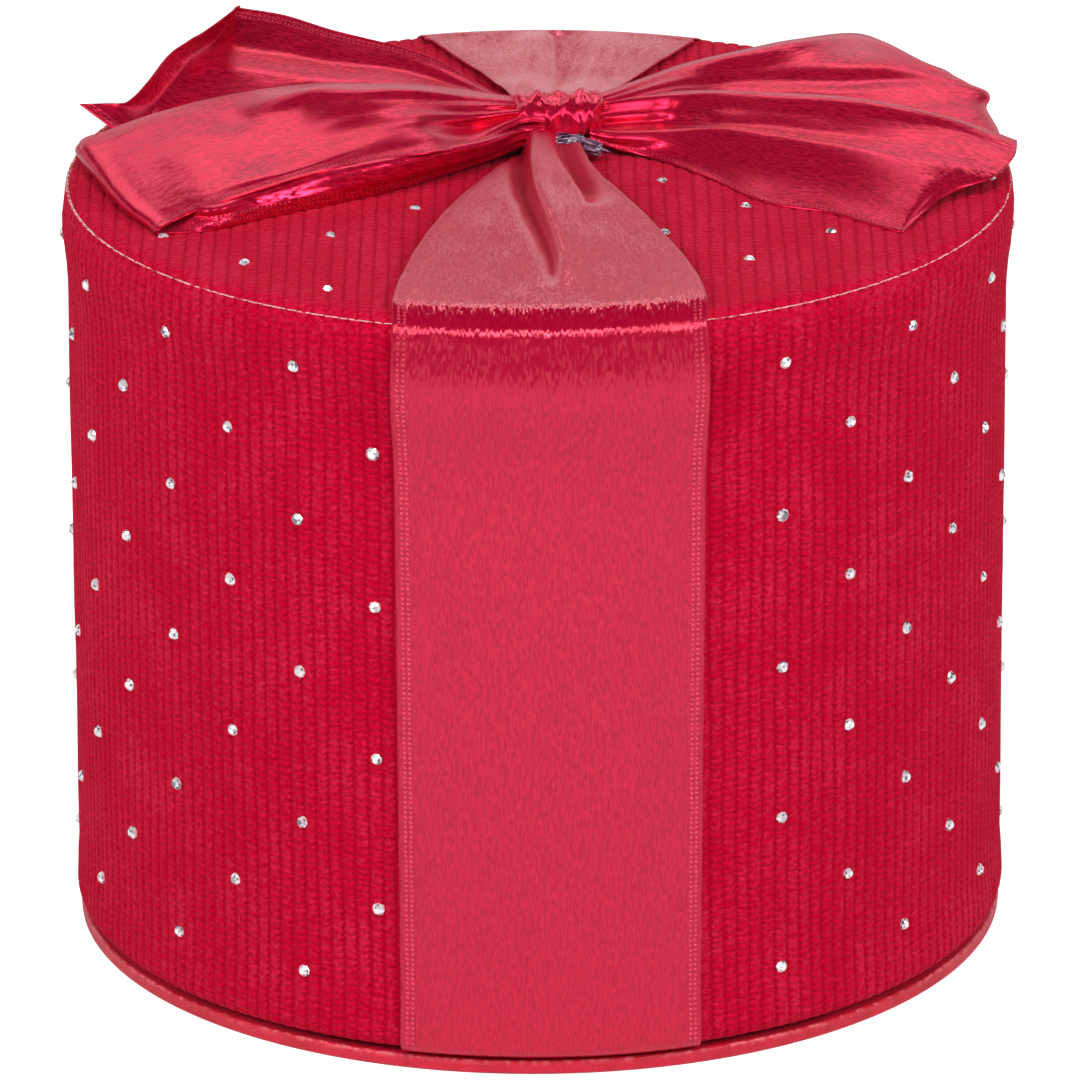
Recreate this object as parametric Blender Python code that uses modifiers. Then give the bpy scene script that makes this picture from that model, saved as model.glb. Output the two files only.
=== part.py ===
"""Round gift box covered in red corduroy: a full-height lid over an inner tub, with a ribbon and a bow.

Blender 4.5, metres, +Z up. The origin is the centre of the underside and the front faces -Y.
The tub stands on a covered base board, and the lid slides down over the tub.
"""
from math import ceil, cos, hypot, pi, radians, sin, sqrt

import bmesh
import bpy
from mathutils import Matrix, Vector

# Overall sizes
box_height = 0.1280
lid_radius = 0.0775
seat_gap = 0.0003
merge_distance = 0.00001

# Sheet and board thicknesses
fabric_thickness = 0.0008
paper_thickness = 0.00035
ribbon_thickness = 0.00035
lid_wall_thickness = 0.0020
lid_wall_chamfer = 0.0007
lid_board_thickness = 0.0020
tub_wall_thickness = 0.0020
tub_board_thickness = 0.0015
base_board_thickness = 0.0011

# Base: how far its rim stands inside the lid's side, and how far its cover turns in
rim_inset = 0.0005
rim_round = 0.0005
cover_turn_over = 0.0110
cover_turn_under = 0.0165

# Lid: clearances to the tub, and the turned edges of its fabrics
lid_clearance = 0.0008
lip_clearance = 0.0015
lip_round = 0.0006
lip_turn_in = 0.0120
top_edge_round = 0.0020
top_hem_depth = 0.0120
raw_edge_drop = 0.0007
hem_bulge = 0.0005
hem_round = 0.0016
hem_bulge_height = 0.0040
hem_turn_in = 0.0087
bulge_slope = 0.0035

# Stones on the fabric
stone_radius = 0.0010
stone_height = 0.0006
stone_seat = 0.0004
stone_side_columns = 36
stone_row_pitch = 0.01305
stone_lowest_row = 0.0145
stone_column_turn = radians(0.7)
stone_top_pitch = 0.01345
stone_top_row = -0.0060
stone_top_shift = 0.0006
stone_edge_room = 0.0035
stone_sides = 6
stone_table_share = 0.5
stone_half_step_share = 0.5

# Ribbon over the lid
ribbon_width = 0.0500
ribbon_front_shift = 0.0015
ribbon_rear_shift = 0.0042
ribbon_rim_round = 0.0015
pleat_height = 0.0010
pleat_count = 3
pleat_growth = 6
straight_share = 0.5

# Bow: its reach from the knot, and the knot's place and size
bow_reach = 0.0800
knot_x = 0.0036
knot_y = 0.0130
knot_length = 0.0162
knot_depth = 0.0110
knot_height = 0.0074
knot_end_share = 0.86
bow_pleat_height = 0.0006
bow_pleat_count = 2

# Set glue in front of the knot
glue_length = 0.0120
glue_depth = 0.0096
glue_height = 0.0026
glue_shift = 0.0014
glue_tuck = 0.0006

# Fineness of the meshes
round_segments = 48
arc_steps = 2
ribbon_across = 12
bow_across = 10
loop_along = 9
tail_along = 10
fold_steps = 4
knot_segments = 24
glue_segments = 16
glue_rings = 8
last_share = 0.999999

# Widths of the ribbon on the lid's top from the rim to its neck: distance, left and right half widths
front_fan_shares = ((0, 1, 1), (0.15, 0.98, 0.97), (0.32, 0.95, 0.86), (0.58, 0.82, 0.61), (0.78, 0.62, 0.42),
                    (0.88, 0.44, 0.31), (0.95, 0.29, 0.25), (1, 0.22, 0.22))
rear_fan_shares = ((0, 0.97, 0.97), (0.2, 0.82, 0.82), (0.4, 0.6, 0.6), (0.6, 0.4, 0.4), (0.78, 0.28, 0.28),
                   (0.9, 0.23, 0.23))

# Edges of the bow's pieces, measured from the knot: along the reach, across in ribbon widths (towards the
# rear), and up from the lid's top in knot heights
left_loop_front_shares = ((0.106, -0.08, 0.73), (0.204, -0.21, 0.50), (0.37, -0.43, 0.40),
                          (0.545, -0.646, 0.37), (0.683, -0.82, 0.36), (0.82, -0.97, 0.36))
left_loop_rear_shares = ((0.106, 0.024, 0.92), (0.231, 0.22, 0.80), (0.42, 0.28, 0.77), (0.595, 0.29, 0.73),
                         (0.8025, 0.21, 0.52), (0.9825, -0.02, 0.38))
left_loop_gap_shares = (0.13, 0.19, 0.2, 0.19, 0.175, 0.155)
left_tail_front_shares = ((0.106, 0.054, 0.72), (0.2325, 0.255, 0.62), (0.42, 0.322, 0.66),
                          (0.61, 0.33, 0.73), (0.81, 0.25, 0.82), (0.9975, 0.14, 0.95))
left_tail_rear_shares = ((0.106, 0.104, 1), (0.2325, 0.49, 0.95), (0.345, 0.68, 1.12), (0.5075, 0.86, 1.32),
                         (0.676, 1.01, 1.46))
right_loop_front_shares = ((0.106, 0.045, 0.86), (0.28, 0.09, 0.8), (0.4925, 0.13, 0.81), (0.705, 0.15, 0.7),
                           (0.886, 0.14, 0.54))
right_loop_rear_shares = ((0.106, 0.1, 1.03), (0.255, 0.416, 0.91), (0.405, 0.56, 1.03), (0.5425, 0.626, 1.08),
                          (0.65, 0.65, 1.09))
right_loop_gap_shares = (0.12, 0.15, 0.17, 0.165, 0.15)
right_tail_front_shares = ((0.106, -0.08, 0.57), (0.255, -0.23, 0.25), (0.4175, -0.6, 0.22),
                           (0.555, -0.8, 0.22), (0.6925, -0.98, 0.22))
right_tail_rear_shares = ((0.106, 0.012, 0.84), (0.28, 0.05, 0.97), (0.4925, 0.09, 0.95), (0.705, 0.1, 0.6),
                          (0.946, -0.08, 0.27))

# Finishes: colour and roughness
greyboard = ((0.46, 0.41, 0.34), 0.9)
red_paper = ((0.55, 0.02, 0.06), 0.4)
lining_paper = ((0.85, 0.80, 0.74), 0.8)
corduroy = ((0.52, 0.01, 0.05), 0.95)
satin = ((0.60, 0.03, 0.09), 0.35)
set_glue = ((0.45, 0.38, 0.48), 0.1)

# Heights worked out upwards from the table
board_bottom = paper_thickness + seat_gap
board_top = board_bottom + base_board_thickness
ledge = board_top + seat_gap + paper_thickness
tub_foot = ledge + seat_gap
floor_top = tub_foot + tub_board_thickness
ribbon_lift = seat_gap + ribbon_thickness / 2
lid_foot = ledge + 2 * seat_gap + ribbon_thickness
lid_wall_foot = lid_foot + fabric_thickness + seat_gap
lid_wall_top = box_height - fabric_thickness - seat_gap
lid_board_bottom = lid_wall_top - lid_board_thickness
lid_lining_bottom = lid_board_bottom - seat_gap - paper_thickness
tub_lip = lid_lining_bottom - lip_clearance
raw_edge = box_height - raw_edge_drop
neck_top = box_height + seat_gap + ribbon_thickness + pleat_height
knot_foot = neck_top + seat_gap

# Radii worked out inwards from the lid's side
rim_radius = lid_radius - rim_inset
base_board_radius = rim_radius - paper_thickness - seat_gap
lid_wall_radius = lid_radius - fabric_thickness - seat_gap
lid_wall_bore = lid_wall_radius - lid_wall_thickness
top_hem_radius = lid_wall_radius + seat_gap + fabric_thickness
bulge_radius = top_hem_radius + seat_gap + fabric_thickness
hem_bore = lid_wall_bore - seat_gap - fabric_thickness
tub_radius = hem_bore - lid_clearance
tub_wall_radius = tub_radius - paper_thickness - seat_gap
tub_wall_bore = tub_wall_radius - tub_wall_thickness
tub_lining_bore = tub_wall_bore - seat_gap - paper_thickness


def clear_scene():
    for old in list(bpy.data.objects):
        bpy.data.objects.remove(old, do_unlink=True)


def make_collection(name):
    collection = bpy.data.collections.new(name)
    bpy.context.scene.collection.children.link(collection)
    return collection


def finish(piece, colour, roughness):
    """Gives a piece its own plain material."""
    material = bpy.data.materials.new(piece.name + "_finish")
    material.use_nodes = True
    shader = material.node_tree.nodes["Principled BSDF"]
    shader.inputs["Base Color"].default_value = (*colour, 1)
    shader.inputs["Roughness"].default_value = roughness
    shader.inputs["Metallic"].default_value = 0
    piece.data.materials.append(material)


def mesh_object(name, mesh, collection):
    piece = bpy.data.objects.new(name, mesh)
    collection.objects.link(piece)
    return piece


def thicken(piece, thickness, offset):
    shell = piece.modifiers.new("thickness", "SOLIDIFY")
    shell.thickness = thickness
    shell.offset = offset
    shell.use_even_offset = True


def turned(name, outline, closed, collection):
    """Turns an outline of (radius, height) points about +Z; it runs down its outer side."""
    mesh = bpy.data.meshes.new(name)
    edges = [(step, step + 1) for step in range(len(outline) - 1)]
    if closed:
        edges.append((len(outline) - 1, 0))
    mesh.from_pydata([(radius, 0, height) for radius, height in outline], edges, [])
    piece = mesh_object(name, mesh, collection)
    screw = piece.modifiers.new("turn", "SCREW")
    screw.axis = "Z"
    screw.angle = 2 * pi
    screw.steps = round_segments
    screw.render_steps = round_segments
    screw.use_merge_vertices = True
    screw.merge_threshold = merge_distance
    screw.use_smooth_shade = True
    return piece


def disc(name, radius, bottom, top, collection):
    return turned(name, [(0, top), (radius, top), (radius, bottom), (0, bottom)], False, collection)


def tube(name, radius, bore, bottom, top, collection):
    return turned(name, [(radius, top), (radius, bottom), (bore, bottom), (bore, top)], True, collection)


def arc(centre_radius, centre_height, radius, start, end):
    """Points of an arc from start to end, in degrees from the outward direction."""
    points = []
    for step in range(arc_steps + 1):
        angle = radians(start + (end - start) * step / arc_steps)
        points.append((centre_radius + radius * cos(angle), centre_height + radius * sin(angle)))
    return points


def straight_row(points, place):
    """Row of a table at a place between its first values, with straight runs between the rows."""
    for low, high in zip(points, points[1:]):
        if place <= high[0]:
            part = (place - low[0]) / (high[0] - low[0])
            return [a + (b - a) * part for a, b in zip(low, high)]
    return list(points[-1])


def smooth_row(rows, share):
    """Row of a table at a share of its length, on a smooth curve through its rows."""
    place = min(share, last_share) * (len(rows) - 1)
    index = int(place)
    part = place - index
    before = rows[max(index - 1, 0)]
    start = rows[index]
    end = rows[index + 1]
    after = rows[min(index + 2, len(rows) - 1)]
    row = []
    for a, b, c, d in zip(before, start, end, after):
        slope_in = (c - a) / 2
        slope_out = (d - b) / 2
        bend = 2 * (b - c) + slope_in + slope_out
        row.append(b + slope_in * part + (3 * (c - b) - 2 * slope_in - slope_out) * part**2 + bend * part**3)
    return row


def sheet(name, point_at, along, across, thickness, collection):
    """A ribbon: a grid whose rows run along it, placed by point_at(row, share across from -1 to 1)."""
    shape = bmesh.new()
    bmesh.ops.create_grid(shape, x_segments=along, y_segments=across, size=1)
    for vertex in shape.verts:
        row = round((vertex.co.x + 1) / 2 * along)
        vertex.co = point_at(row, vertex.co.y)
    mesh = bpy.data.meshes.new(name)
    shape.to_mesh(mesh)
    shape.free()
    mesh.shade_smooth()
    piece = mesh_object(name, mesh, collection)
    thicken(piece, thickness, 0)
    return piece


def base_wrap_outline():
    """Cover of the base board's edge, from its inner end on top to its inner end below."""
    return ([(rim_radius - cover_turn_over, ledge)]
            + arc(rim_radius - rim_round, ledge - rim_round, rim_round, 90, 0)
            + arc(rim_radius - rim_round, rim_round, rim_round, 0, -90)
            + [(rim_radius - cover_turn_under, 0)])


def tub_wrap_outline():
    """Cover of the tub's wall, from the end of its turn-in up over the lip and down the outside."""
    inside = tub_wall_bore - seat_gap - paper_thickness
    return ([(inside, tub_lip - lip_turn_in)]
            + arc(inside + lip_round, tub_lip - lip_round, lip_round, 180, 90)
            + arc(tub_radius - lip_round, tub_lip - lip_round, lip_round, 90, 0)
            + [(tub_radius, tub_foot)])


def top_fabric_outline():
    """Fabric on the lid's top, from its middle out over the edge and down to the end of its hem."""
    return ([(0, box_height)]
            + arc(top_hem_radius - top_edge_round, box_height - top_edge_round, top_edge_round, 90, 0)
            + [(top_hem_radius, box_height - top_hem_depth)])


def side_outline():
    """Outer face of the side fabric, from its raw edge down to the start of the lower hem's round."""
    hem_end = box_height - top_hem_depth
    hem_radius = lid_radius + hem_bulge
    return [(bulge_radius, raw_edge), (bulge_radius, hem_end + seat_gap), (lid_radius, hem_end - bulge_slope),
            (lid_radius, lid_foot + hem_round + hem_bulge_height), (hem_radius, lid_foot + hem_round)]


def side_fabric_outline():
    """The side fabric: its outer face, the round of the lower hem and the part turned in."""
    hem_radius = lid_radius + hem_bulge
    return (side_outline()
            + arc(hem_radius - hem_round, lid_foot + hem_round, hem_round, 0, -90)[1:]
            + arc(hem_bore + fabric_thickness, lid_foot + fabric_thickness, fabric_thickness, -90, -180)
            + [(hem_bore, lid_foot + hem_turn_in)])


def lid_wall_outline():
    """The lid's wall, with the crushed outer edge at its top."""
    return [(lid_wall_radius - lid_wall_chamfer, lid_wall_top),
            (lid_wall_radius, lid_wall_top - lid_wall_chamfer),
            (lid_wall_radius, lid_wall_foot), (lid_wall_bore, lid_wall_foot), (lid_wall_bore, lid_wall_top)]


def make_base(parts):
    board = disc("base_board", base_board_radius, board_bottom, board_top, parts)
    finish(board, *greyboard)
    wrap = turned("base_wrap", base_wrap_outline(), False, parts)
    thicken(wrap, paper_thickness, -1)
    finish(wrap, *red_paper)
    underside_radius = rim_radius - cover_turn_under - seat_gap
    underside = disc("base_underside_sheet", underside_radius, 0, paper_thickness, parts)
    finish(underside, *red_paper)


def make_tub(parts):
    lining_top = tub_lip - lip_turn_in - seat_gap
    lining_foot = floor_top + seat_gap
    wall = tube("tub_wall", tub_wall_radius, tub_wall_bore, tub_foot,
                tub_lip - paper_thickness - seat_gap, parts)
    finish(wall, *greyboard)
    floor = disc("tub_floor", tub_wall_bore - seat_gap, tub_foot, floor_top, parts)
    finish(floor, *greyboard)
    wrap = turned("tub_wrap", tub_wrap_outline()[::-1], False, parts)
    thicken(wrap, paper_thickness, 1)
    finish(wrap, *red_paper)
    lining = tube("tub_lining", tub_wall_bore - seat_gap, tub_lining_bore, lining_foot, lining_top, parts)
    finish(lining, *lining_paper)
    floor_lining = disc("floor_lining", tub_lining_bore - seat_gap, lining_foot, lining_foot + paper_thickness,
                        parts)
    finish(floor_lining, *lining_paper)


def make_lid_shell(parts):
    hem_top = lid_foot + hem_turn_in
    wall = turned("lid_wall", lid_wall_outline(), True, parts)
    finish(wall, *greyboard)
    board = disc("lid_top_board", lid_wall_bore - seat_gap, lid_board_bottom, lid_wall_top, parts)
    finish(board, *greyboard)
    lining = tube("lid_wall_lining", lid_wall_bore - seat_gap, lid_wall_bore - seat_gap - paper_thickness,
                  hem_top + seat_gap, lid_lining_bottom - seat_gap, parts)
    finish(lining, *lining_paper)
    top_lining = disc("lid_top_lining", lid_wall_bore - seat_gap, lid_lining_bottom,
                      lid_lining_bottom + paper_thickness, parts)
    finish(top_lining, *lining_paper)


def add_stone(shape, place, outward):
    """Adds one faceted stone whose foot is sunk in the fabric at a place."""
    turn = Vector((0, 0, 1)).rotation_difference(outward).to_matrix().to_4x4()
    centre = place + outward * (stone_height - stone_seat) / 2
    bmesh.ops.create_cone(shape, cap_ends=True, cap_tris=False, segments=stone_sides, radius1=stone_radius,
                          radius2=stone_radius * stone_table_share, depth=stone_height + stone_seat,
                          matrix=Matrix.Translation(centre) @ turn)


def side_stone_places():
    """Places on the lid's side: columns round it, every second row filled, none under the ribbon."""
    side_rows = [(height, radius) for radius, height in reversed(side_outline())]
    highest = raw_edge - stone_edge_room
    rows = ceil((highest - stone_lowest_row) / stone_row_pitch)
    for column in range(stone_side_columns):
        angle = 2 * pi * column / stone_side_columns + stone_column_turn
        outward = Vector((sin(angle), -cos(angle), 0))
        shift = ribbon_front_shift if outward.y < 0 else ribbon_rear_shift
        room = ribbon_width / 2 + stone_radius + seat_gap
        if abs(lid_radius * outward.x - shift) < room:
            continue
        for row in range(rows):
            height = stone_lowest_row + row * stone_row_pitch
            if (row + column) % 2 == 1:
                yield outward * straight_row(side_rows, height)[1] + Vector((0, 0, height)), outward


def top_stone_places():
    """Places on the lid's top: the same pattern, none under the ribbon."""
    reach = top_hem_radius - top_edge_round - stone_radius
    count = ceil(reach / stone_top_pitch)
    for column in range(-count, count):
        x = stone_top_shift + stone_top_pitch * (column + stone_half_step_share)
        for row in range(-count, count):
            y = stone_top_row - stone_top_pitch * row
            left, right = fan_edges(y)
            beside_ribbon = x < left - stone_radius - seat_gap or x > right + stone_radius + seat_gap
            if (row + column) % 2 == 1 and hypot(x, y) < reach and beside_ribbon:
                yield Vector((x, y, box_height)), Vector((0, 0, 1))


def stone_tool(name, places, cutters):
    shape = bmesh.new()
    for place, outward in places:
        add_stone(shape, place, outward)
    mesh = bpy.data.meshes.new(name)
    shape.to_mesh(mesh)
    shape.free()
    tool = mesh_object(name, mesh, cutters)
    tool.hide_render = True
    tool.display_type = "WIRE"
    return tool


def stud(piece, tool):
    join = piece.modifiers.new("stones", "BOOLEAN")
    join.operation = "UNION"
    join.solver = "EXACT"
    join.object = tool


def make_fabrics(parts, cutters):
    top = turned("top_fabric", top_fabric_outline(), False, parts)
    thicken(top, fabric_thickness, -1)
    stud(top, stone_tool("top_stones", top_stone_places(), cutters))
    finish(top, *corduroy)
    side = turned("side_fabric", side_fabric_outline(), False, parts)
    thicken(side, fabric_thickness, -1)
    stud(side, stone_tool("side_stones", side_stone_places(), cutters))
    finish(side, *corduroy)


def fan_edges(y):
    """Left and right edges of the ribbon on the lid's top, at a distance y from the middle."""
    shares = front_fan_shares if y < knot_y else rear_fan_shares + ((1,) + front_fan_shares[-1][1:],)
    shift = ribbon_front_shift if y < knot_y else ribbon_rear_shift
    rim_y = -lid_radius if y < knot_y else lid_radius
    share = min(max((rim_y - y) / (rim_y - knot_y), 0), 1)
    _, left, right = straight_row(shares, share)
    middle = shift + (knot_x - shift) * share
    return middle - left * ribbon_width / 2, middle + right * ribbon_width / 2


def ribbon_side_path():
    """Middle of the ribbon up the lid's side: (radius, height) from its turned-in end to the rim."""
    hem_radius = lid_radius + hem_bulge
    side = [(radius + ribbon_lift, height) for radius, height in reversed(side_outline()[:-1])]
    return ([(hem_bore, lid_foot - ribbon_lift)]
            + arc(hem_radius - hem_round, lid_foot + hem_round, hem_round + ribbon_lift, -90, 0)
            + side[:-1]
            + arc(bulge_radius + ribbon_lift - ribbon_rim_round, box_height + ribbon_lift - ribbon_rim_round,
                  ribbon_rim_round, 0, 90))


def on_side(radius, height, place, shift, front):
    """Point of the ribbon on the round side, at a distance place across it."""
    angle = (shift + place) / lid_radius
    return Vector((radius * sin(angle), front * radius * cos(angle), height))


def on_top(share, left, right, across, shift, front):
    """Point of the ribbon on the lid's top, at a share of the way from the rim to the neck."""
    rim = bulge_radius + ribbon_lift - ribbon_rim_round
    distance = rim + (front * knot_y - rim) * share
    half_width = (left if across < 0 else right) * ribbon_width / 2
    middle = shift + (knot_x - shift) * share
    x = middle + across * half_width
    roundness = max(1 - share / straight_share, 0)
    bow = roundness * (distance - sqrt(max(distance**2 - x**2, 0)))
    pleat = pleat_height * share**pleat_growth * (1 - cos(pi * pleat_count * (across + 1))) / 2
    return Vector((x, front * (distance - bow), box_height + ribbon_lift + pleat))


def make_wrap_ribbon(parts):
    """One ribbon from under the front edge, up, over the top through a neck, and down to the rear edge."""
    side = ribbon_side_path()
    rows = [("side", row, -1) for row in side]
    rows += [("top", row, -1) for row in front_fan_shares[1:]]
    rows += [("top", row, 1) for row in reversed(rear_fan_shares[1:])]
    rows += [("side", row, 1) for row in reversed(side)]

    def point_at(index, across):
        kind, row, front = rows[index]
        shift = ribbon_front_shift if front < 0 else ribbon_rear_shift
        if kind == "top":
            return on_top(*row, across, shift, front)
        return on_side(*row, across * ribbon_width / 2, shift, front)

    ribbon = sheet("wrap_ribbon", point_at, len(rows) - 1, ribbon_across, ribbon_thickness, parts)
    finish(ribbon, *satin)


def bow_point(shares, share, side):
    """Point of one edge of the bow at a share of its length; side is -1 on the left and 1 on the right."""
    along, across, up = smooth_row(shares, share)
    return Vector((knot_x + side * bow_reach * along, knot_y + ribbon_width * across,
                   box_height + knot_height * up))


def bow_surface(front_shares, rear_shares, share, across, side):
    """Point of a bow piece between its front and rear edges, gathered into pleats towards the knot."""
    front = bow_point(front_shares, share, side)
    rear = bow_point(rear_shares, share, side)
    part = (across + 1) / 2
    pleat = bow_pleat_height * (1 - share)**2 * sin(2 * pi * bow_pleat_count * part)
    return front.lerp(rear, part) + Vector((0, 0, pleat / 2))


def make_loop(name, front_shares, rear_shares, gap_shares, side, parts):
    """A flattened loop: out along its upper layer, round the fold at its end and back below."""
    upper = [(step / loop_along, 90) for step in range(loop_along + 1)]
    fold = [(1, 90 - 180 * step / fold_steps) for step in range(1, fold_steps)]
    lower = [(share, -90) for share, _ in reversed(upper)]
    rows = upper + fold + lower

    def point_at(index, across):
        share, angle = rows[index]
        middle = bow_surface(front_shares, rear_shares, share, across, side)
        gap = knot_height * smooth_row([(value,) for value in gap_shares], share)[0]
        outward = Vector((side, 0, 0)) * cos(radians(angle))
        return middle + gap * (outward + Vector((0, 0, sin(radians(angle)))))

    loop = sheet(name, point_at, len(rows) - 1, bow_across, ribbon_thickness, parts)
    finish(loop, *satin)


def make_tail(name, front_shares, rear_shares, side, parts):
    def point_at(index, across):
        return bow_surface(front_shares, rear_shares, index / tail_along, across, side)

    tail = sheet(name, point_at, tail_along, bow_across, ribbon_thickness, parts)
    finish(tail, *satin)


def make_knot(parts):
    """Band round the bow's waist: a barrel lying along X, flattened in height."""
    half = knot_length / 2
    radius = knot_depth / 2
    outline = [(0, half), (radius * knot_end_share, half), (radius, half / 2), (radius, -half / 2),
               (radius * knot_end_share, -half), (0, -half)]
    knot = turned("bow_knot", outline, False, parts)
    knot.modifiers["turn"].steps = knot_segments
    knot.modifiers["turn"].render_steps = knot_segments
    knot.rotation_euler = (0, pi / 2, 0)
    knot.scale = (knot_height / knot_depth, 1, 1)
    knot.location = (knot_x, knot_y, knot_foot + knot_height / 2)
    finish(knot, *satin)


def make_glue(parts):
    shape = bmesh.new()
    bmesh.ops.create_uvsphere(shape, u_segments=glue_segments, v_segments=glue_rings, radius=1)
    bmesh.ops.scale(shape, vec=(glue_length / 2, glue_depth / 2, glue_height / 2), verts=shape.verts)
    mesh = bpy.data.meshes.new("glue_bead")
    shape.to_mesh(mesh)
    shape.free()
    mesh.shade_smooth()
    glue = mesh_object("glue_bead", mesh, parts)
    glue.location = (knot_x + glue_shift, knot_y - (knot_depth + glue_depth) / 2 + glue_tuck,
                     knot_foot + glue_height / 2)
    finish(glue, *set_glue)


def make_bow(parts):
    make_loop("bow_left_loop", left_loop_front_shares, left_loop_rear_shares, left_loop_gap_shares, -1, parts)
    make_tail("bow_left_tail", left_tail_front_shares, left_tail_rear_shares, -1, parts)
    make_loop("bow_right_loop", right_loop_front_shares, right_loop_rear_shares, right_loop_gap_shares, 1,
              parts)
    make_tail("bow_right_tail", right_tail_front_shares, right_tail_rear_shares, 1, parts)
    make_knot(parts)
    make_glue(parts)


def main():
    clear_scene()
    parts = make_collection("round_gift_box")
    cutters = make_collection("cutters")
    make_base(parts)
    make_tub(parts)
    make_lid_shell(parts)
    make_fabrics(parts, cutters)
    make_wrap_ribbon(parts)
    make_bow(parts)


main()
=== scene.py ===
"""Looks of a round gift box: red corduroy set with small stones, a satin ribbon and a satin bow."""
from functools import reduce
from math import ceil, cos, dist, pi, radians, sin, tan

import bmesh
import bpy
import numpy as np
from mathutils import Matrix, Vector, noise


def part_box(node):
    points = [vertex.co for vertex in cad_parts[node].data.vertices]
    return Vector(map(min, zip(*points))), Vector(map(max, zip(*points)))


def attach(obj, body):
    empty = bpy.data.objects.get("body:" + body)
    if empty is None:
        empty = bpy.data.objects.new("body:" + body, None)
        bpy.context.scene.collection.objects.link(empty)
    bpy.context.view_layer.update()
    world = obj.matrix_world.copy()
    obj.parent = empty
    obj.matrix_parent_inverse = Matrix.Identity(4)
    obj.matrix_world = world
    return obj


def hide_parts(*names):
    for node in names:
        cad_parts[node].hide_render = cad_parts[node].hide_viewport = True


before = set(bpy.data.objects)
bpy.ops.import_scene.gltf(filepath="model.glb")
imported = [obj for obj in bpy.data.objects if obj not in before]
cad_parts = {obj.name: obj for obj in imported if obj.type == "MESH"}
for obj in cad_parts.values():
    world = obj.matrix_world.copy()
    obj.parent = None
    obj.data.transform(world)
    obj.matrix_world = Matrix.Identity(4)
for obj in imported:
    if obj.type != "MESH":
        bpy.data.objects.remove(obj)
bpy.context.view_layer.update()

mm = 0.001

# Main sizes, from the frame
fabric_thickness = 0.8 * mm
seat = 0.3 * mm
wall_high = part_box("lid_wall")[1]
side_radius = wall_high.x + seat + fabric_thickness
deck = wall_high.z + seat + fabric_thickness
lid_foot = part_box("side_fabric")[0].z
rim_low, rim_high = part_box("base_wrap")

# Corduroy
fabric_top = 127.3 * mm
wale_count = 208
wale_pitch = 2 * pi * side_radius / wale_count
wale_depth = 0.28 * mm
wale_steps = 8
tuft_pitch = 1.15 * mm

# Ribbon: its width and weave, the stitches along its edges, how far it lies off the middle, and the knot
ribbon_width = 50 * mm
ribbon_thickness = 0.3 * mm
thread_width = 0.27 * mm
float_length = 1.05 * mm
rim_lean = 0.16
stitches_start = 0.8 * mm
stitches_end = 2.4 * mm
stitch_row_pitch = 0.9 * mm
stitch_pitch = 0.85 * mm
front_shift = 2.3 * mm
rear_shift = 4.7 * mm
knot_place = Vector((3.6, 13.0, 134.0)) * mm

# Camera: the photograph's frame, focal length in its pixels, and where the box's middle falls
frame_pixels = 1080
focal_pixels = 9867.96
camera_distance = 1643.6 * mm
camera_elevation = radians(20.396)
camera_roll = radians(-0.40)
middle_height = 63.7 * mm
middle_x_px = 537.48
middle_y_px = 538.76
sensor_width = 36.0


def add_object(name, data):
    """A new object in the scene."""
    made = bpy.data.objects.new(name, data)
    bpy.context.scene.collection.objects.link(made)
    return made


def camera_matrix():
    """The camera's place and direction, with the box's middle where the photograph has it."""
    back = Vector((0, -cos(camera_elevation), sin(camera_elevation)))
    up = Vector((0, sin(camera_elevation), cos(camera_elevation)))
    per_pixel = camera_distance / focal_pixels
    aim = Vector((0, 0, middle_height))
    aim += Vector((1, 0, 0)) * (frame_pixels / 2 - middle_x_px) * per_pixel
    aim -= up * (frame_pixels / 2 - middle_y_px) * per_pixel
    look = back.to_track_quat("Z", "Y").to_matrix().to_4x4()
    return Matrix.Translation(aim + back * camera_distance) @ look @ Matrix.Rotation(camera_roll, 4, "Z")


def make_camera():
    data = bpy.data.cameras.new("camera")
    data.sensor_width = sensor_width
    data.lens = sensor_width * focal_pixels / frame_pixels
    data.clip_start = camera_distance * 0.1
    data.clip_end = camera_distance * 20
    camera = add_object("camera", data)
    camera.matrix_world = camera_matrix()
    bpy.context.scene.camera = camera


def seen(row):
    """Places in millimetres of points given as they are seen: across and down the picture, then the height,
    or where that is under 90 the rise in degrees towards the rear from the point before."""
    view = camera_matrix()
    places = []
    for x, y, height in row:
        line = view.to_3x3() @ Vector((x - frame_pixels / 2, frame_pixels / 2 - y, -focal_pixels))
        if height < 90:
            slope = tan(radians(height))
            foot = view.translation - line * (view.translation.z / line.z)
            rise = slope * (foot.y / mm - places[-1][1]) + places[-1][2]
            height = rise / (1 - slope * line.y / line.z)
        share = (height * mm - view.translation.z) / line.z
        places.append(tuple((view.translation + line * share) / mm))
    return places


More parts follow.
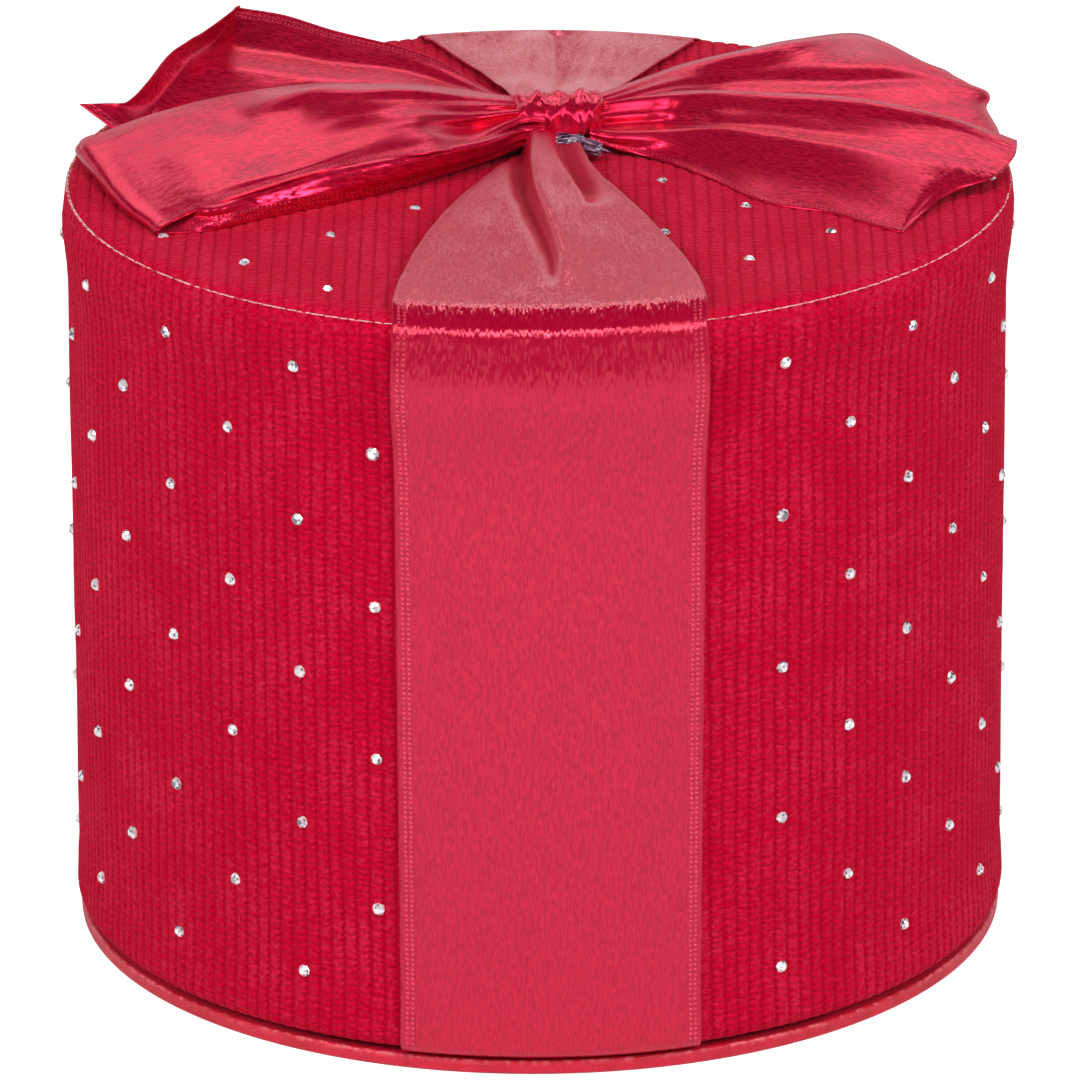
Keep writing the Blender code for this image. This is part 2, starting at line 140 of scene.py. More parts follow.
# Node helpers
class Nodes:
    """Short names for building a tree of nodes."""

    def __init__(self, tree):
        self.tree = tree
        self.tree.nodes.clear()

    def new(self, kind, **inputs):
        """A new node with these inputs."""
        node = self.tree.nodes.new("ShaderNode" + kind)
        self.give(node, **inputs)
        return node

    def give(self, node, **inputs):
        for name, value in inputs.items():
            self.put(node.inputs[name.replace("_", " ")], value)

    def put(self, socket, value):
        if isinstance(value, bpy.types.NodeSocket):
            self.tree.links.new(value, socket)
        else:
            socket.default_value = value

    def fill(self, node, *values):
        """Give a node its first inputs, and return its first output."""
        for socket, value in zip(node.inputs, values):
            self.put(socket, value)
        return node.outputs[0]

    def math(self, operation, a, b=0.0):
        node = self.new("Math")
        node.operation = operation
        return self.fill(node, a, b)

    def times(self, a, b):
        return self.math("MULTIPLY", a, b)

    def plus(self, a, b):
        return self.math("ADD", a, b)

    def minus(self, a, b):
        return self.math("SUBTRACT", a, b)

    def blend(self, *parts):
        """Sum of values, each times its weight."""
        return reduce(self.plus, [self.times(value, weight) for value, weight in parts])

    def ramp(self, value, low, high, to_low=0.0, to_high=1.0):
        node = self.new("MapRange")
        node.interpolation_type = "SMOOTHSTEP"
        return self.fill(node, value, low, high, to_low, to_high)

    def split(self, vector):
        return list(self.new("SeparateXYZ", Vector=vector).outputs)


class Shader(Nodes):
    """One material's nodes."""

    def __init__(self, name):
        self.material = bpy.data.materials.new(name)
        self.material.use_nodes = True
        super().__init__(self.material.node_tree)
        self.surface = self.new("BsdfPrincipled")
        self.new("OutputMaterial", Surface=self.surface.outputs[0])

    def set(self, **inputs):
        self.give(self.surface, **inputs)

    def mix(self, share, a, b):
        node = self.new("Mix")
        node.data_type = "RGBA"
        self.put(node.inputs[0], share)
        self.put(node.inputs[6], a)
        self.put(node.inputs[7], b)
        return node.outputs[2]

    def flat(self):
        """Place on the flat cloth in metres: across, along, and a mark, whose meaning each material gives."""
        node = self.new("Attribute")
        node.attribute_name = "flat"
        return node.outputs["Vector"]

    def place(self):
        return self.new("TexCoord").outputs["Object"]

    def vector(self, operation, a, b=(0, 0, 0)):
        node = self.new("VectorMath")
        node.operation = operation
        self.fill(node, a, b)
        return node.outputs["Value" if operation == "DOT_PRODUCT" else "Vector"]

    def scatter(self, number):
        """A value from 0 to 1 that has no order from one whole number to the next."""
        wave = self.math("SINE", self.times(number, 12.99))
        return self.math("FRACT", self.times(wave, 4375.85))

    def scaled(self, vector, *scale):
        return self.new("Mapping", Vector=vector, Scale=scale).outputs[0]

    def noise(self, vector, x, y, z, detail=2.0, roughness=0.5):
        """Noise over a place, with a scale for each axis."""
        place = self.scaled(vector, x, y, z)
        return self.new("TexNoise", Vector=place, Scale=1, Detail=detail, Roughness=roughness).outputs["Fac"]

    def cloud(self, scale, detail=2.0, roughness=0.5):
        """Noise over the piece that has one scale for all axes."""
        return self.noise(self.place(), scale, scale, scale, detail, roughness)

    def bump(self, height, strength, distance):
        normal = self.new("Bump", Strength=strength, Distance=distance, Height=height).outputs[0]
        self.set(Normal=normal)
        return normal


def corduroy_material():
    """Ribs of cut pile: smooth red with patches of paler fuzz, with painted shade in the grooves and between
    the tufts. The mark is rawness.
    """
    s = Shader("red_corduroy")
    cloth = s.flat()
    across, along, raw = s.split(cloth)
    wales = s.math("DIVIDE", across, wale_pitch)
    # Tufts turn like a rope along each rib, and eat into the grooves
    wander = s.noise(cloth, 0.45 / mm, 0.25 / mm, 0, detail=1.0)
    turn = s.plus(s.math("DIVIDE", along, tuft_pitch), s.times(wander, 1.6))
    turn = s.plus(turn, s.scatter(s.math("FLOOR", wales)))
    rope = s.ramp(s.math("SINE", s.times(turn, 2 * pi)), -0.6, 0.9)
    ragged = s.noise(cloth, 0.9 / mm, 1.3 / mm, 0, roughness=0.7)
    phase = s.math("FRACT", s.minus(s.plus(wales, s.times(ragged, 0.42)), 0.21))
    from_ridge = s.times(s.math("ABSOLUTE", s.minus(phase, 0.5)), 2.0)
    ridge = s.ramp(s.minus(from_ridge, s.times(rope, 0.22)), 0.38, 0.82, 1.0, 0.0)
    tufts = s.noise(cloth, 1.1 / mm, 0.75 / mm, 1, detail=3.0, roughness=0.7)
    fibres = s.noise(cloth, 4.5 / mm, 3.2 / mm, 1, roughness=0.7)
    patches = s.noise(cloth, 0.10 / mm, 0.07 / mm, 1)
    fuzz = s.ramp(s.blend((tufts, 0.75), (fibres, 0.35), (s.minus(patches, 0.5), 0.35)), 0.47, 0.75)
    # Painted shade: a darker red in the grooves and between the tufts along each ridge
    red = s.mix(s.times(ridge, s.plus(s.times(rope, 0.6), 0.4)), (0.42, 0.0, 0.017, 1), (0.55, 0.0, 0.028, 1))
    red = s.mix(s.times(s.times(fuzz, ridge), 0.75), red, (0.64, 0.022, 0.065, 1))
    threads = s.noise(cloth, 1.6 / mm, 1.6 / mm, 1, detail=1.0)
    colour = s.mix(s.times(raw, s.ramp(threads, 0.35, 0.55)), red, (0.86, 0.50, 0.50, 1))
    s.set(Base_Color=colour, Roughness=0.9, Specular_IOR_Level=0.05, Sheen_Weight=0.10, Sheen_Roughness=0.4,
          Sheen_Tint=(1.0, 0.25, 0.32, 1))
    s.bump(s.blend((tufts, 0.9), (fibres, 0.4), (rope, 0.7)), 0.6, 0.35 * mm)
    return s.material


wrap_gloss = {"Roughness": 0.29, "Metallic": 0.42, "Anisotropic": 0.80, "Specular_IOR_Level": 0.7}
bow_gloss = {"Roughness": 0.21, "Metallic": 0.56, "Anisotropic": 0.60, "Specular_IOR_Level": 0.25,
             "Specular_Tint": (1.0, 0.72, 0.78, 1)}


def satin_material(name, red, lean, spread, gloss):
    """Warp-faced satin, whose coloured gloss is sharp along the threads and broad across them. The mark is 1
    at the rim, where the floats lean most, and falls to -1 in creases, which get painted shade."""
    s = Shader(name)
    cloth = s.flat()
    across, along, mark = s.split(cloth)
    threads = s.noise(cloth, 2.6 / mm, 0.75 / mm, 1, detail=3.0, roughness=0.65)
    # Each float of each thread has its own shade, and leans its own way along the thread
    thread = s.math("FLOOR", s.math("DIVIDE", across, thread_width))
    step = s.plus(s.math("DIVIDE", along, float_length), s.scatter(thread))
    own = s.scatter(s.plus(s.times(s.math("FLOOR", step), 6.1), thread))
    shade = s.blend((own, 0.75), (s.ramp(threads, 0.3, 0.7), 0.25))
    # Each float's tone runs from a darker red to a paler one, and the pale end is partly a painted glint
    dark = tuple((1 - spread) * value for value in red[:3]) + (1,)
    pale_float_glint = (min(red[0] * (1 + spread), 1), 0.045 * spread, red[2] + 0.1 * spread, 1)
    # Rows of stitches along both edges
    from_edge = s.minus(ribbon_width / 2, s.math("ABSOLUTE", across))
    band = s.times(s.ramp(from_edge, stitches_start - 0.1 * mm, stitches_start + 0.1 * mm),
                   s.ramp(from_edge, stitches_end - 0.1 * mm, stitches_end + 0.1 * mm, 1, 0))
    rows = s.math("SINE", s.times(from_edge, 2 * pi / stitch_row_pitch))
    stitches = s.math("SINE", s.times(along, 2 * pi / stitch_pitch))
    stitch = s.times(s.times(band, s.ramp(rows, -0.5, 0.5)), s.ramp(stitches, -0.4, 0.6, -1.0, 1.0))
    # Painted highlight: the stitches are painted a paler red
    colour = s.mix(s.times(s.ramp(stitch, 0.2, 0.9), 0.45), s.mix(shade, dark, pale_float_glint), (0.86, 0.10, 0.17, 1))
    # Painted shade in creases: a darker red there, and a rougher, duller gloss
    painted_shade = s.ramp(mark, -1, 0, 1, 0)
    s.set(Base_Color=s.mix(painted_shade, colour, (0.50, 0.0, 0.026, 1)), **gloss)
    s.set(Roughness=s.ramp(painted_shade, 0, 1, gloss["Roughness"], 0.8))
    tangent = s.new("Tangent")
    tangent.direction_type = "UV_MAP"
    tangent.uv_map = "cloth"
    s.set(Tangent=tangent.outputs[0])
    facing = s.bump(s.blend((threads, 0.5), (stitch, 0.8)), 0.6, 0.12 * mm)
    tilt = s.times(s.minus(own, 0.5), s.ramp(mark, 0, 1, 2 * lean, 2 * rim_lean))
    lengthwise = s.vector("CROSS_PRODUCT", facing, tangent.outputs[0])
    leaning = s.vector("ADD", facing, s.vector("MULTIPLY", lengthwise, tilt))
    s.set(Normal=s.vector("NORMALIZE", leaning))
    return s.material


def paper_material(name, colour, roughness):
    """Plain paper, whose colour is up to 12% darker and lighter in clouds."""
    s = Shader(name)
    mixed = s.blend((s.cloud(900, 4.0, 0.7), 0.6), (s.cloud(60), 0.4))
    darker = tuple(value * 0.88 for value in colour) + (1,)
    lighter = tuple(value * 1.12 for value in colour) + (1,)
    s.set(Base_Color=s.mix(s.ramp(mixed, 0.3, 0.7), darker, lighter), Roughness=roughness,
          Specular_IOR_Level=0.3)
    s.bump(mixed, 0.25, 0.1 * mm)
    return s.material


def board_material():
    s = Shader("greyboard")
    layers = s.noise(s.place(), 140, 140, 500, detail=3.0)
    mixed = s.blend((s.cloud(1400, 3.0, 0.8), 0.5), (layers, 0.5))
    s.set(Base_Color=s.mix(s.ramp(mixed, 0.35, 0.65), (0.28, 0.25, 0.21, 1), (0.50, 0.46, 0.40, 1)),
          Roughness=0.9, Specular_IOR_Level=0.2)
    s.bump(mixed, 0.3, 0.15 * mm)
    return s.material


def rim_paper_material():
    """Coated red paper with a fine leather-like grain, with a painted highlight along its edge, which the
    mark gives.
    """
    s = Shader("red_grained_paper")
    grain = s.new("TexVoronoi", Vector=s.scaled(s.place(), 1, 1, 1.6), Scale=1500)
    grain.feature = "DISTANCE_TO_EDGE"
    cloud = s.cloud(220, 3.0)
    red = s.mix(s.ramp(cloud, 0.3, 0.7), (0.52, 0.0, 0.02, 1), (0.62, 0.004, 0.035, 1))
    # Painted highlight: paler along the rounded top edge, where the mark is
    painted_edge_highlight = s.times(s.split(s.flat())[2], s.ramp(s.cloud(700), 0.42, 0.62))
    s.set(Base_Color=s.mix(s.times(painted_edge_highlight, 0.6), red, (0.80, 0.18, 0.22, 1)), Roughness=0.46,
          Specular_IOR_Level=0.5, Sheen_Weight=0.15, Sheen_Roughness=0.4, Sheen_Tint=(1, 0.6, 0.62, 1))
    s.bump(s.plus(s.ramp(grain.outputs["Distance"], 0.0, 0.25), s.times(cloud, 0.6)), 0.3, 0.12 * mm)
    return s.material


def stone_material():
    """Clear foiled stone, each facet of which gets a painted reflection, dark or white by the way it faces.
    """
    s = Shader("clear_foiled_stone")
    facing = s.new("NewGeometry").outputs["True Normal"]
    # Painted reflection: each facet is dark or white by the way it faces
    painted_facet_reflection = s.times(s.vector("DOT_PRODUCT", facing, (3.1, 7.3, 5.7)), 5.0)
    painted_facet_reflection = s.ramp(s.math("ABSOLUTE", s.math("SINE", painted_facet_reflection)), 0.25, 0.5)
    s.set(Base_Color=s.mix(painted_facet_reflection, (0.20, 0.18, 0.23, 1), (0.98, 0.96, 1.0, 1)), Metallic=0.45,
          Roughness=0.10, Coat_Weight=1.0, Coat_Roughness=0.02)
    return s.material


def glue_material():
    s = Shader("set_glue")
    s.set(Base_Color=s.mix(s.ramp(s.cloud(420), 0.35, 0.65), (0.05, 0.015, 0.045, 1), (0.24, 0.12, 0.20, 1)),
          Roughness=0.07, IOR=1.5, Specular_IOR_Level=0.9, Coat_Weight=0.8, Coat_Roughness=0.03)
    s.bump(s.cloud(900, 1.0), 0.4, 0.2 * mm)
    return s.material


# Mesh helpers
def catmull(points, count):
    """Smooth curve through the first axis of an array of control points, at count even places."""
    points = np.asarray(points, float)
    last = len(points) - 1
    places = np.linspace(0, last, count)
    index = np.minimum(places.astype(int), last - 1)
    part = (places - index).reshape((-1,) + (1,) * (points.ndim - 1))
    before = points[np.maximum(index - 1, 0)]
    start = points[index]
    end = points[index + 1]
    after = points[np.minimum(index + 2, last)]
    slope_in = (end - before) / 2
    slope_out = (after - start) / 2
    bend = 2 * start - 2 * end + slope_in + slope_out
    return start + slope_in * part + (3 * (end - start) - 2 * slope_in - slope_out) * part**2 + bend * part**3


def surface(rows, along, across):
    """Smooth surface through rows of control points: an array of along by across points."""
    grid = catmull(rows, along)
    return np.swapaxes(catmull(np.swapaxes(grid, 0, 1), across), 0, 1)


def grid_normals(points):
    """Unit normals of a grid of points."""
    down = np.gradient(points, axis=0)
    over = np.gradient(points, axis=1)
    normal = np.cross(over, down)
    return normal / np.maximum(np.linalg.norm(normal, axis=2, keepdims=True), 1e-12)


def grid_piece(name, points, flat, material, wrap=False):
    """One mesh object from a grid of points, with its flat places kept as an attribute and a UV map."""
    rows, columns = points.shape[:2]
    index = np.arange(rows * columns).reshape(rows, columns)
    if wrap:
        index = np.concatenate([index, index[:, :1]], axis=1)
    faces = np.stack([index[:-1, :-1], index[1:, :-1], index[1:, 1:], index[:-1, 1:]], axis=-1).reshape(-1, 4)
    mesh = bpy.data.meshes.new(name)
    mesh.from_pydata(points.reshape(-1, 3).tolist(), [], faces.tolist())
    layer = mesh.attributes.new("flat", "FLOAT_VECTOR", "POINT")
    layer.data.foreach_set("vector", flat.reshape(-1, 3).astype(np.float32).ravel())
    uv = mesh.uv_layers.new(name="cloth")
    corners = flat.reshape(-1, 3)[faces.ravel(), :2] / ribbon_width
    uv.data.foreach_set("uv", corners.astype(np.float32).ravel())
    mesh.materials.append(material)
    mesh.shade_smooth()
    return add_object(name, mesh)


def shape_piece(name, shape, material):
    """One mesh object from a finished shape, which is freed."""
    mesh = bpy.data.meshes.new(name)
    shape.to_mesh(mesh)
    shape.free()
    mesh.materials.append(material)
    return add_object(name, mesh)


def solidify(piece, thickness, offset=0.0):
    shell = piece.modifiers.new("thickness", "SOLIDIFY")
    shell.thickness = thickness
    shell.offset = offset
    return piece


def joined(x, y, z):
    """Points from arrays or numbers for their three places."""
    return np.stack(np.broadcast_arrays(x, y, z), axis=-1)


def wave_noise(x, y, seed):
    """Cheap smooth noise for arrays, about -1 to 1, from a few sine waves."""
    total = np.zeros(np.broadcast(x, y).shape)
    for step in range(1, 6):
        angle = 2.39996 * step + seed
        reach = 0.7 + 0.37 * step
        total = total + np.sin((x * cos(angle) + y * sin(angle)) * reach + 1.7 * step * step + seed * 3.1) / 5
    return total * 1.6


def wale_pile(phase):
    """Height of the pile across one wale, from 0 in the groove to 1 on the ridge."""
    return 1 - np.abs(2 * (phase - np.floor(phase)) - 1)**3.2


# Swell of the lid's side over its straight radius, at heights, at its left and at its right, in millimetres
side_swell = np.transpose([
    (3.35, -0.6, -0.6), (4.2, 0.1, 0.1), (5.2, 0.45, 0.45), (8.5, 0.42, 0.42), (12, 0, 0),
    (104, -0.2, 0.2), (109, -0.3, 0.2), (111, -0.3, 0.2), (113.2, -0.2, 0.4), (115.4, -0.05, 0.6),
    (117.5, 0.15, 0.9), (119.6, 0.4, 1.15), (121.8, 0.45, 1.35), (124, 0.15, 1.4), (127.3, -0.3, 1)])


def side_profile(height, to_right):
    """Radius at a height, where to_right runs from 0 at the box's left to 1 at its right."""
    heights, lefts, rights = side_swell
    left = np.interp(height / mm, heights, lefts)
    right = np.interp(height / mm, heights, rights)
    return side_radius - 0.15 * mm + (left + (right - left) * to_right) * mm


def make_side_fabric(material):
    """The strip round the tube, from its raw upper edge down to the foot and turned in under it."""
    outer = np.concatenate([np.linspace(fabric_top, 112 * mm, 15)[:-1],
                            np.linspace(112 * mm, 6 * mm, 30)[:-1],
                            np.linspace(6 * mm, lid_foot + 0.4 * mm, 5)])
    # Height, inset, share of the ribs' relief and rawness of each row
    profile = [(fabric_top - 1.2 * mm, -fabric_thickness, 0, 0.0),
               (fabric_top - 0.05 * mm, -fabric_thickness * 0.75, 0, 0.6),
               (fabric_top + 0.12 * mm, -0.35 * mm, 0.1, 1.0), (fabric_top + 0.05 * mm, -0.05 * mm, 0.4, 0.9)]
    profile += [(height, 0.0, 1.0, 0.0) for height in outer]
    profile += [(lid_foot, -0.7 * mm, 0.5, 0.0), (lid_foot, -2.0 * mm, 0.3, 0.0),
                (lid_foot + 0.5 * mm, -3.3 * mm, 0, 0.0), (lid_foot + 8.7 * mm, -4.1 * mm, 0, 0.0)]
    columns = wale_count * wale_steps
    turn = np.arange(columns) / columns
    angle = pi / 2 + 2 * pi * turn
    points = np.zeros((len(profile), columns, 3))
    flat = np.zeros_like(points)
    run = 0.0
    last = None
    for row, (height, inset, relief, raw) in enumerate(profile):
        radius = side_profile(height, (1 + np.cos(angle)) / 2) + inset
        middle = (float(radius[0]), float(height))
        run += dist(middle, last or middle)
        last = middle
        drift = 0.10 * wave_noise(turn * 150, height / mm * 0.06, 2.0)
        drift = drift + 0.05 * wave_noise(turn * 700, height / mm * 0.35, 5.0)
        phase = turn * wale_count + drift
        pile = wale_pile(phase) * (1 + 0.14 * wave_noise(turn * 600, height / mm * 0.9, 7.0))
        uneven = 0.06 * mm * wave_noise(turn * 60, height / mm * 0.12, 3.0)
        reach = radius + relief * (wale_depth * (pile - 1) + uneven)
        points[row] = joined(reach * np.cos(angle), reach * np.sin(angle), height)
        flat[row] = joined(phase * wale_pitch, run, raw)
    return grid_piece("side_corduroy", points[:, ::-1], flat[:, ::-1], material, wrap=True)


def make_top_fabric(material):
    """The disc over the top board, rolled over the rim and turned down inside the side fabric."""
    reach = 86.5 * mm
    half = int(reach / wale_pitch * wale_steps)
    xs = np.arange(-half, half + 1) * wale_pitch / wale_steps
    xs = xs[np.abs(xs) < reach * 0.9995]
    mean_round = 3.0 * mm
    mean_flat = side_radius - mean_round
    # Rows run over the flat top, over the roll at the rim and down the hem, and crowd together at both ends
    end = np.sqrt(reach**2 - xs**2)
    after_roll = np.sqrt(np.maximum((mean_flat + mean_round * pi / 2)**2 - xs**2, 0))
    after_roll = np.maximum(after_roll, end * 0.7)
    before_roll = np.maximum(np.sqrt(np.maximum(mean_flat**2 - xs**2, 0)), after_roll * 0.7)
    half_rows = []
    stretches = ((0 * xs, before_roll, 20), (before_roll, after_roll, 10), (after_roll, end, 4))
    for start, stop, count in stretches:
        half_rows += [start + (stop - start) * part for part in np.linspace(0, 1, count)[1:]]
    ys = np.array([-row for row in reversed(half_rows)] + [0 * xs] + half_rows)
    grid_x = np.broadcast_to(xs, ys.shape)
    away = np.hypot(grid_x, ys)
    out_x = grid_x / np.maximum(away, 1e-9)
    out_y = ys / np.maximum(away, 1e-9)
    to_right = (1 + out_x) / 2
    edge_round = (3.3 - 0.9 * to_right) * mm
    flat_radius = side_profile(fabric_top, to_right) - 0.1 * mm - edge_round
    drift = 0.10 * wave_noise(grid_x / mm * 0.35, ys / mm * 0.05, 1.0)
    drift = drift + 0.04 * wave_noise(grid_x / mm * 1.3, ys / mm * 0.3, 4.0)
    phase = grid_x / wale_pitch + drift
    pile = wale_pile(phase) * (1 + 0.14 * wave_noise(grid_x / mm * 1.3, ys / mm * 0.9, 6.0))
    angle = np.clip((away - flat_radius) / edge_round, 0, pi / 2)
    down = np.maximum(away - flat_radius - edge_round * pi / 2, 0)
    radius = np.minimum(away, flat_radius) + edge_round * np.sin(angle)
    height = deck - edge_round + edge_round * np.cos(angle) - down
    sink = wale_depth * (pile - 1) - 0.12 * mm * (1 + wave_noise(grid_x / mm * 0.12, ys / mm * 0.12, 9.0)) / 2
    radius = radius + sink * np.sin(angle) - 0.25 * mm * (down > 0)
    height = height + sink * np.cos(angle)
    points = joined(out_x * radius, out_y * radius, height)
    piece = grid_piece("top_corduroy", points, joined(phase * wale_pitch, ys, 0), material)
    return solidify(piece, fabric_thickness - wale_depth, -1)


# Ribbon: where it starts to turn over the rim, in millimetres, and the radius and slopes of each bend there
rim_start = 126.3
rim_bends = ((2.3 * mm, radians(17), radians(60)), (16.0 * mm, radians(60), radians(76)),
             (3.0 * mm, radians(76), radians(88)))

# Its fans on the lid's top, in millimetres: the radius where they start, and their edges from the rim to the
# neck, as y, the left x and the right x
fan_rim = 71.5
front_fan = np.array([(-71.5, -22.6, 27), (-62, -21.7, 25.9), (-50, -19.8, 23.5), (-38, -17.4, 20.1),
                      (-30, -15.1, 17.6), (-20, -11.6, 14), (-12, -8.2, 11.1), (-4, -5.1, 8.8),
                      (3, -2.6, 7.6), (9, -1.6, 7.4)])
rear_fan = np.array([(71.5, -18.9, 27.4), (69, -17.4, 26.9), (58, -13.2, 22.8), (48, -8.6, 18.2),
                     (38, -5, 13.8), (28, -2.6, 11), (20, -1.6, 9.4)])

# Folds of the fans in millimetres: a line of (y, x) points, depths at places along y, and the widths to the
# left and right of the line. A raised fold has depths under 0. The front fan has a crevice on the left of its
# middle pleat, the pleat itself, the dark hollow on its right and a shallow crease far left.
crevice = [(-57, 3.1), (-49, 3.0), (-39.5, 1.8), (-29, 0.2), (-19, -1.2), (-8, -1.9), (1, -1.8)]
pleat = [(y, x + 1.6) for y, x in crevice]
hollow = [(-20, 8.4), (-9, 6.0), (-2, 4.6), (6, 3.6)]
front_folds = [
    (crevice, [(-63, 0), (-56, 0.9), (-46, 1.6), (-30, 2.2), (-10, 2.9), (6, 2.6), (12, 0)], 1.9, 0.45),
    (pleat, [(-71, 0), (-62, -0.2), (-50, -0.5), (-38, -1.0), (-30, -1.35), (-12, -1.5), (6, -1.3), (12, 0)],
     1.0, 3.8),
    (hollow, [(-26, 0), (-20, 1.2), (-15, 2.2), (-8, 1.8), (0, 0.9), (9, 0.4)], 0.6, 3.0),
    ([(-40, -9.0), (-7, -5.4), (9, -2.8)], [(-45, 0), (-12, 0.35), (4, 0.6), (12, 0)], 2.4, 1.6),
]
# The rear fan has a crease with a raised roll on each side
rear_folds = [
    ([(22, 4.0), (45, 4.2), (66, 3.0)], [(20, 0), (28, 0.8), (48, 1.0), (60, 0.5), (71.5, 0)], 3.2, 5.0),
    ([(22, 1.5), (40, -0.5), (72, 0.5)], [(20, 0), (30, -0.8), (58, -1.1), (66, -0.8), (71.5, -0.1)], 3, 2.2),
    ([(22, 7.5), (45, 9.5), (72, 12.0)], [(20, 0), (30, -0.6), (60, -0.6), (71.5, -0.1)], 3.0, 4.5),
]


def fold(x, y, line, depths, left_width, right_width):
    """A valley along a line, with unlike widths on its two sides."""
    away = x - np.interp(y, *np.transpose(line))
    sink = np.interp(y, *np.transpose(depths))
    width = np.where(away < 0, left_width, right_width)
    return -sink * np.exp(-np.abs(away / width)**1.5)


def fan_height(x, y):
    """Height of the ribbon's fans above the lid's top, in millimetres."""
    height = np.interp(y, [-72, -66, -60, -40, -15, 0, 9, 20, 30, 45, 60, 72],
                       [1.34, 1.50, 1.70, 2.4, 3.2, 3.7, 4.0, 3.4, 2.4, 1.6, 1.4, 1.34])
    for shape in front_folds + rear_folds:
        height = height + fold(x, y, *shape)
    height = height + 0.08 * wave_noise(x * 0.5, y * 0.16, 2.0) + 0.05 * wave_noise(x * 1.4, y * 0.2, 6.0)
    return np.maximum(height, 0.5)


def fan_painted_shade(x, y):
    """How much painted shade the front fan's crevice and hollow get, 0 to -1."""
    dark = fold(x + 0.3, y, crevice, [(-61, 0), (-55, 0.8), (-45, 1), (6, 1), (12, 0)], 1.3, 0.8)
    dark = dark + fold(x - 1.0, y, hollow, [(-24, 0), (-17, 0.8), (-12, 1), (6, 1), (12, 0)], 1.3, 2.6)
    return np.maximum(dark, -1)


def ribbon_side(q, height, shift, front):
    """Points of the ribbon on the lid's side, with q from -1 to 1 across it and front -1 or 1."""
    heights = [3, 3.9, 5.2, 8.5, 12, 100, 105, 109, 112, 115, 118, 121, 123.5, 125.2, rim_start]
    extra = [0, 0.62, 0.95, 0.9, 0.45, 0.5, 0.75, 1.3, 1.85, 2.2, 2.2, 1.85, 1.37, 1.07, 0.9]
    radius = side_radius + np.interp(height / mm, heights, extra) * mm
    radius = radius + 0.05 * mm * wave_noise(q * 2.2, height / mm * 0.07, 1.3 + front)
    # The front ribbon narrows a little on its right towards the foot
    slant = 0.05 * np.maximum(q, 0) * (1 - height / (rim_start * mm)) * (front < 0)
    angle = (shift + q * (1 - slant) * ribbon_width / 2) / side_radius
    return joined(radius * np.sin(angle), front * radius * np.cos(angle), height)


def outward_of(row):
    """Level unit vectors from the box's middle to a row of points."""
    level = row * (1, 1, 0)
    return level / np.linalg.norm(level, axis=-1, keepdims=True)


def side_rows(q, shift, front):
    """Rows of the ribbon from its end under the lid's foot up to the rim."""
    foot = ribbon_side(q, 5.0 * mm, shift, front)
    rows = []
    for inset, height in ((5.0, 3.25), (2.2, 3.05), (0.9, 3.35), (0.25, 4.0)):
        rows.append(foot - outward_of(foot) * inset * mm + np.array([0, 0, (height - 5.0) * mm]))
    heights = np.concatenate([np.linspace(5.2, 100, 26), np.linspace(102, rim_start, 18)]) * mm
    return rows + [ribbon_side(q, height, shift, front) for height in heights]


def rim_rows(q, shift, front):
    """Rows of the ribbon over the rim, with a few ripples, and in front a dip at the end of the pleat."""
    start = ribbon_side(q, rim_start * mm, shift, front)
    outward = outward_of(start)
    if front < 0:
        outward = np.broadcast_to((0.0, -1.0, 0.0), start.shape)
    rows = []
    for bend, first, last in rim_bends:
        for angle in np.linspace(first, last, 10)[1:]:
            ring = start - outward * bend * (cos(first) - cos(angle))
            ring[:, 2] = start[:, 2] + bend * (sin(angle) - sin(first))
            ripple = 0.06 * wave_noise(q * 9, angle * 1.2, 4.0) + 0.02 * wave_noise(q * 34, angle * 2.0, 8.0)
            if front < 0:
                ripple = ripple - 0.16 * np.exp(-((q + 0.04) / 0.06)**2)
            rows.append(ring + outward * (ripple * sin(2 * angle) * mm)[:, None])
        start = ring
    return rows


def fan_rows(q, fan, count):
    """Rows of one fan from the rim to the neck."""
    places = np.linspace(0, 1, len(fan))
    rows = []
    for part in np.linspace(0, 1, count):
        y, left, right = (np.interp(part, places, column) for column in fan.T)
        x = left + (right - left) * (q + 1) / 2
        # Rows near the rim follow its curve
        curve = max(1 - part / 0.4, 0)
        y = y + curve * np.sign(y) * (np.sqrt(np.maximum(fan_rim**2 - x**2, 0)) - fan_rim)
        rows.append(joined(x * mm, y * mm, deck + fan_height(x, y) * mm))
    return rows


def make_wrap_ribbon(material):
    """The ribbon up the front, over the top and down the rear."""
    q = np.linspace(-1, 1, 101)
    front_side = side_rows(q, front_shift, -1)
    front_rim = rim_rows(q, front_shift, -1)
    over = fan_rows(q, front_fan, 60)[1:] + fan_rows(q, rear_fan, 44)[::-1][:-1]
    rear = side_rows(q, rear_shift, 1) + rim_rows(q, rear_shift, 1)
    points = np.array(front_side + front_rim + over + rear[::-1])
    steps = np.linalg.norm(np.diff(points[:, len(q) // 2], axis=0), axis=-1)
    flat = np.zeros_like(points)
    flat[:, :, 0] = q * ribbon_width / 2
    flat[1:, :, 1] = np.cumsum(steps)[:, None]
    flat[:len(front_side), :, 2] = 0.5
    flat[len(front_side):len(front_side + front_rim), :, 2] = 1.0
    # The front fan's crevice and hollow get painted shade through this mark
    flat[:, :, 2] += fan_painted_shade(points[:, :, 0] / mm, points[:, :, 1] / mm)
    piece = grid_piece("wrap_satin_ribbon", points, flat, material)
    return solidify(piece, ribbon_thickness)


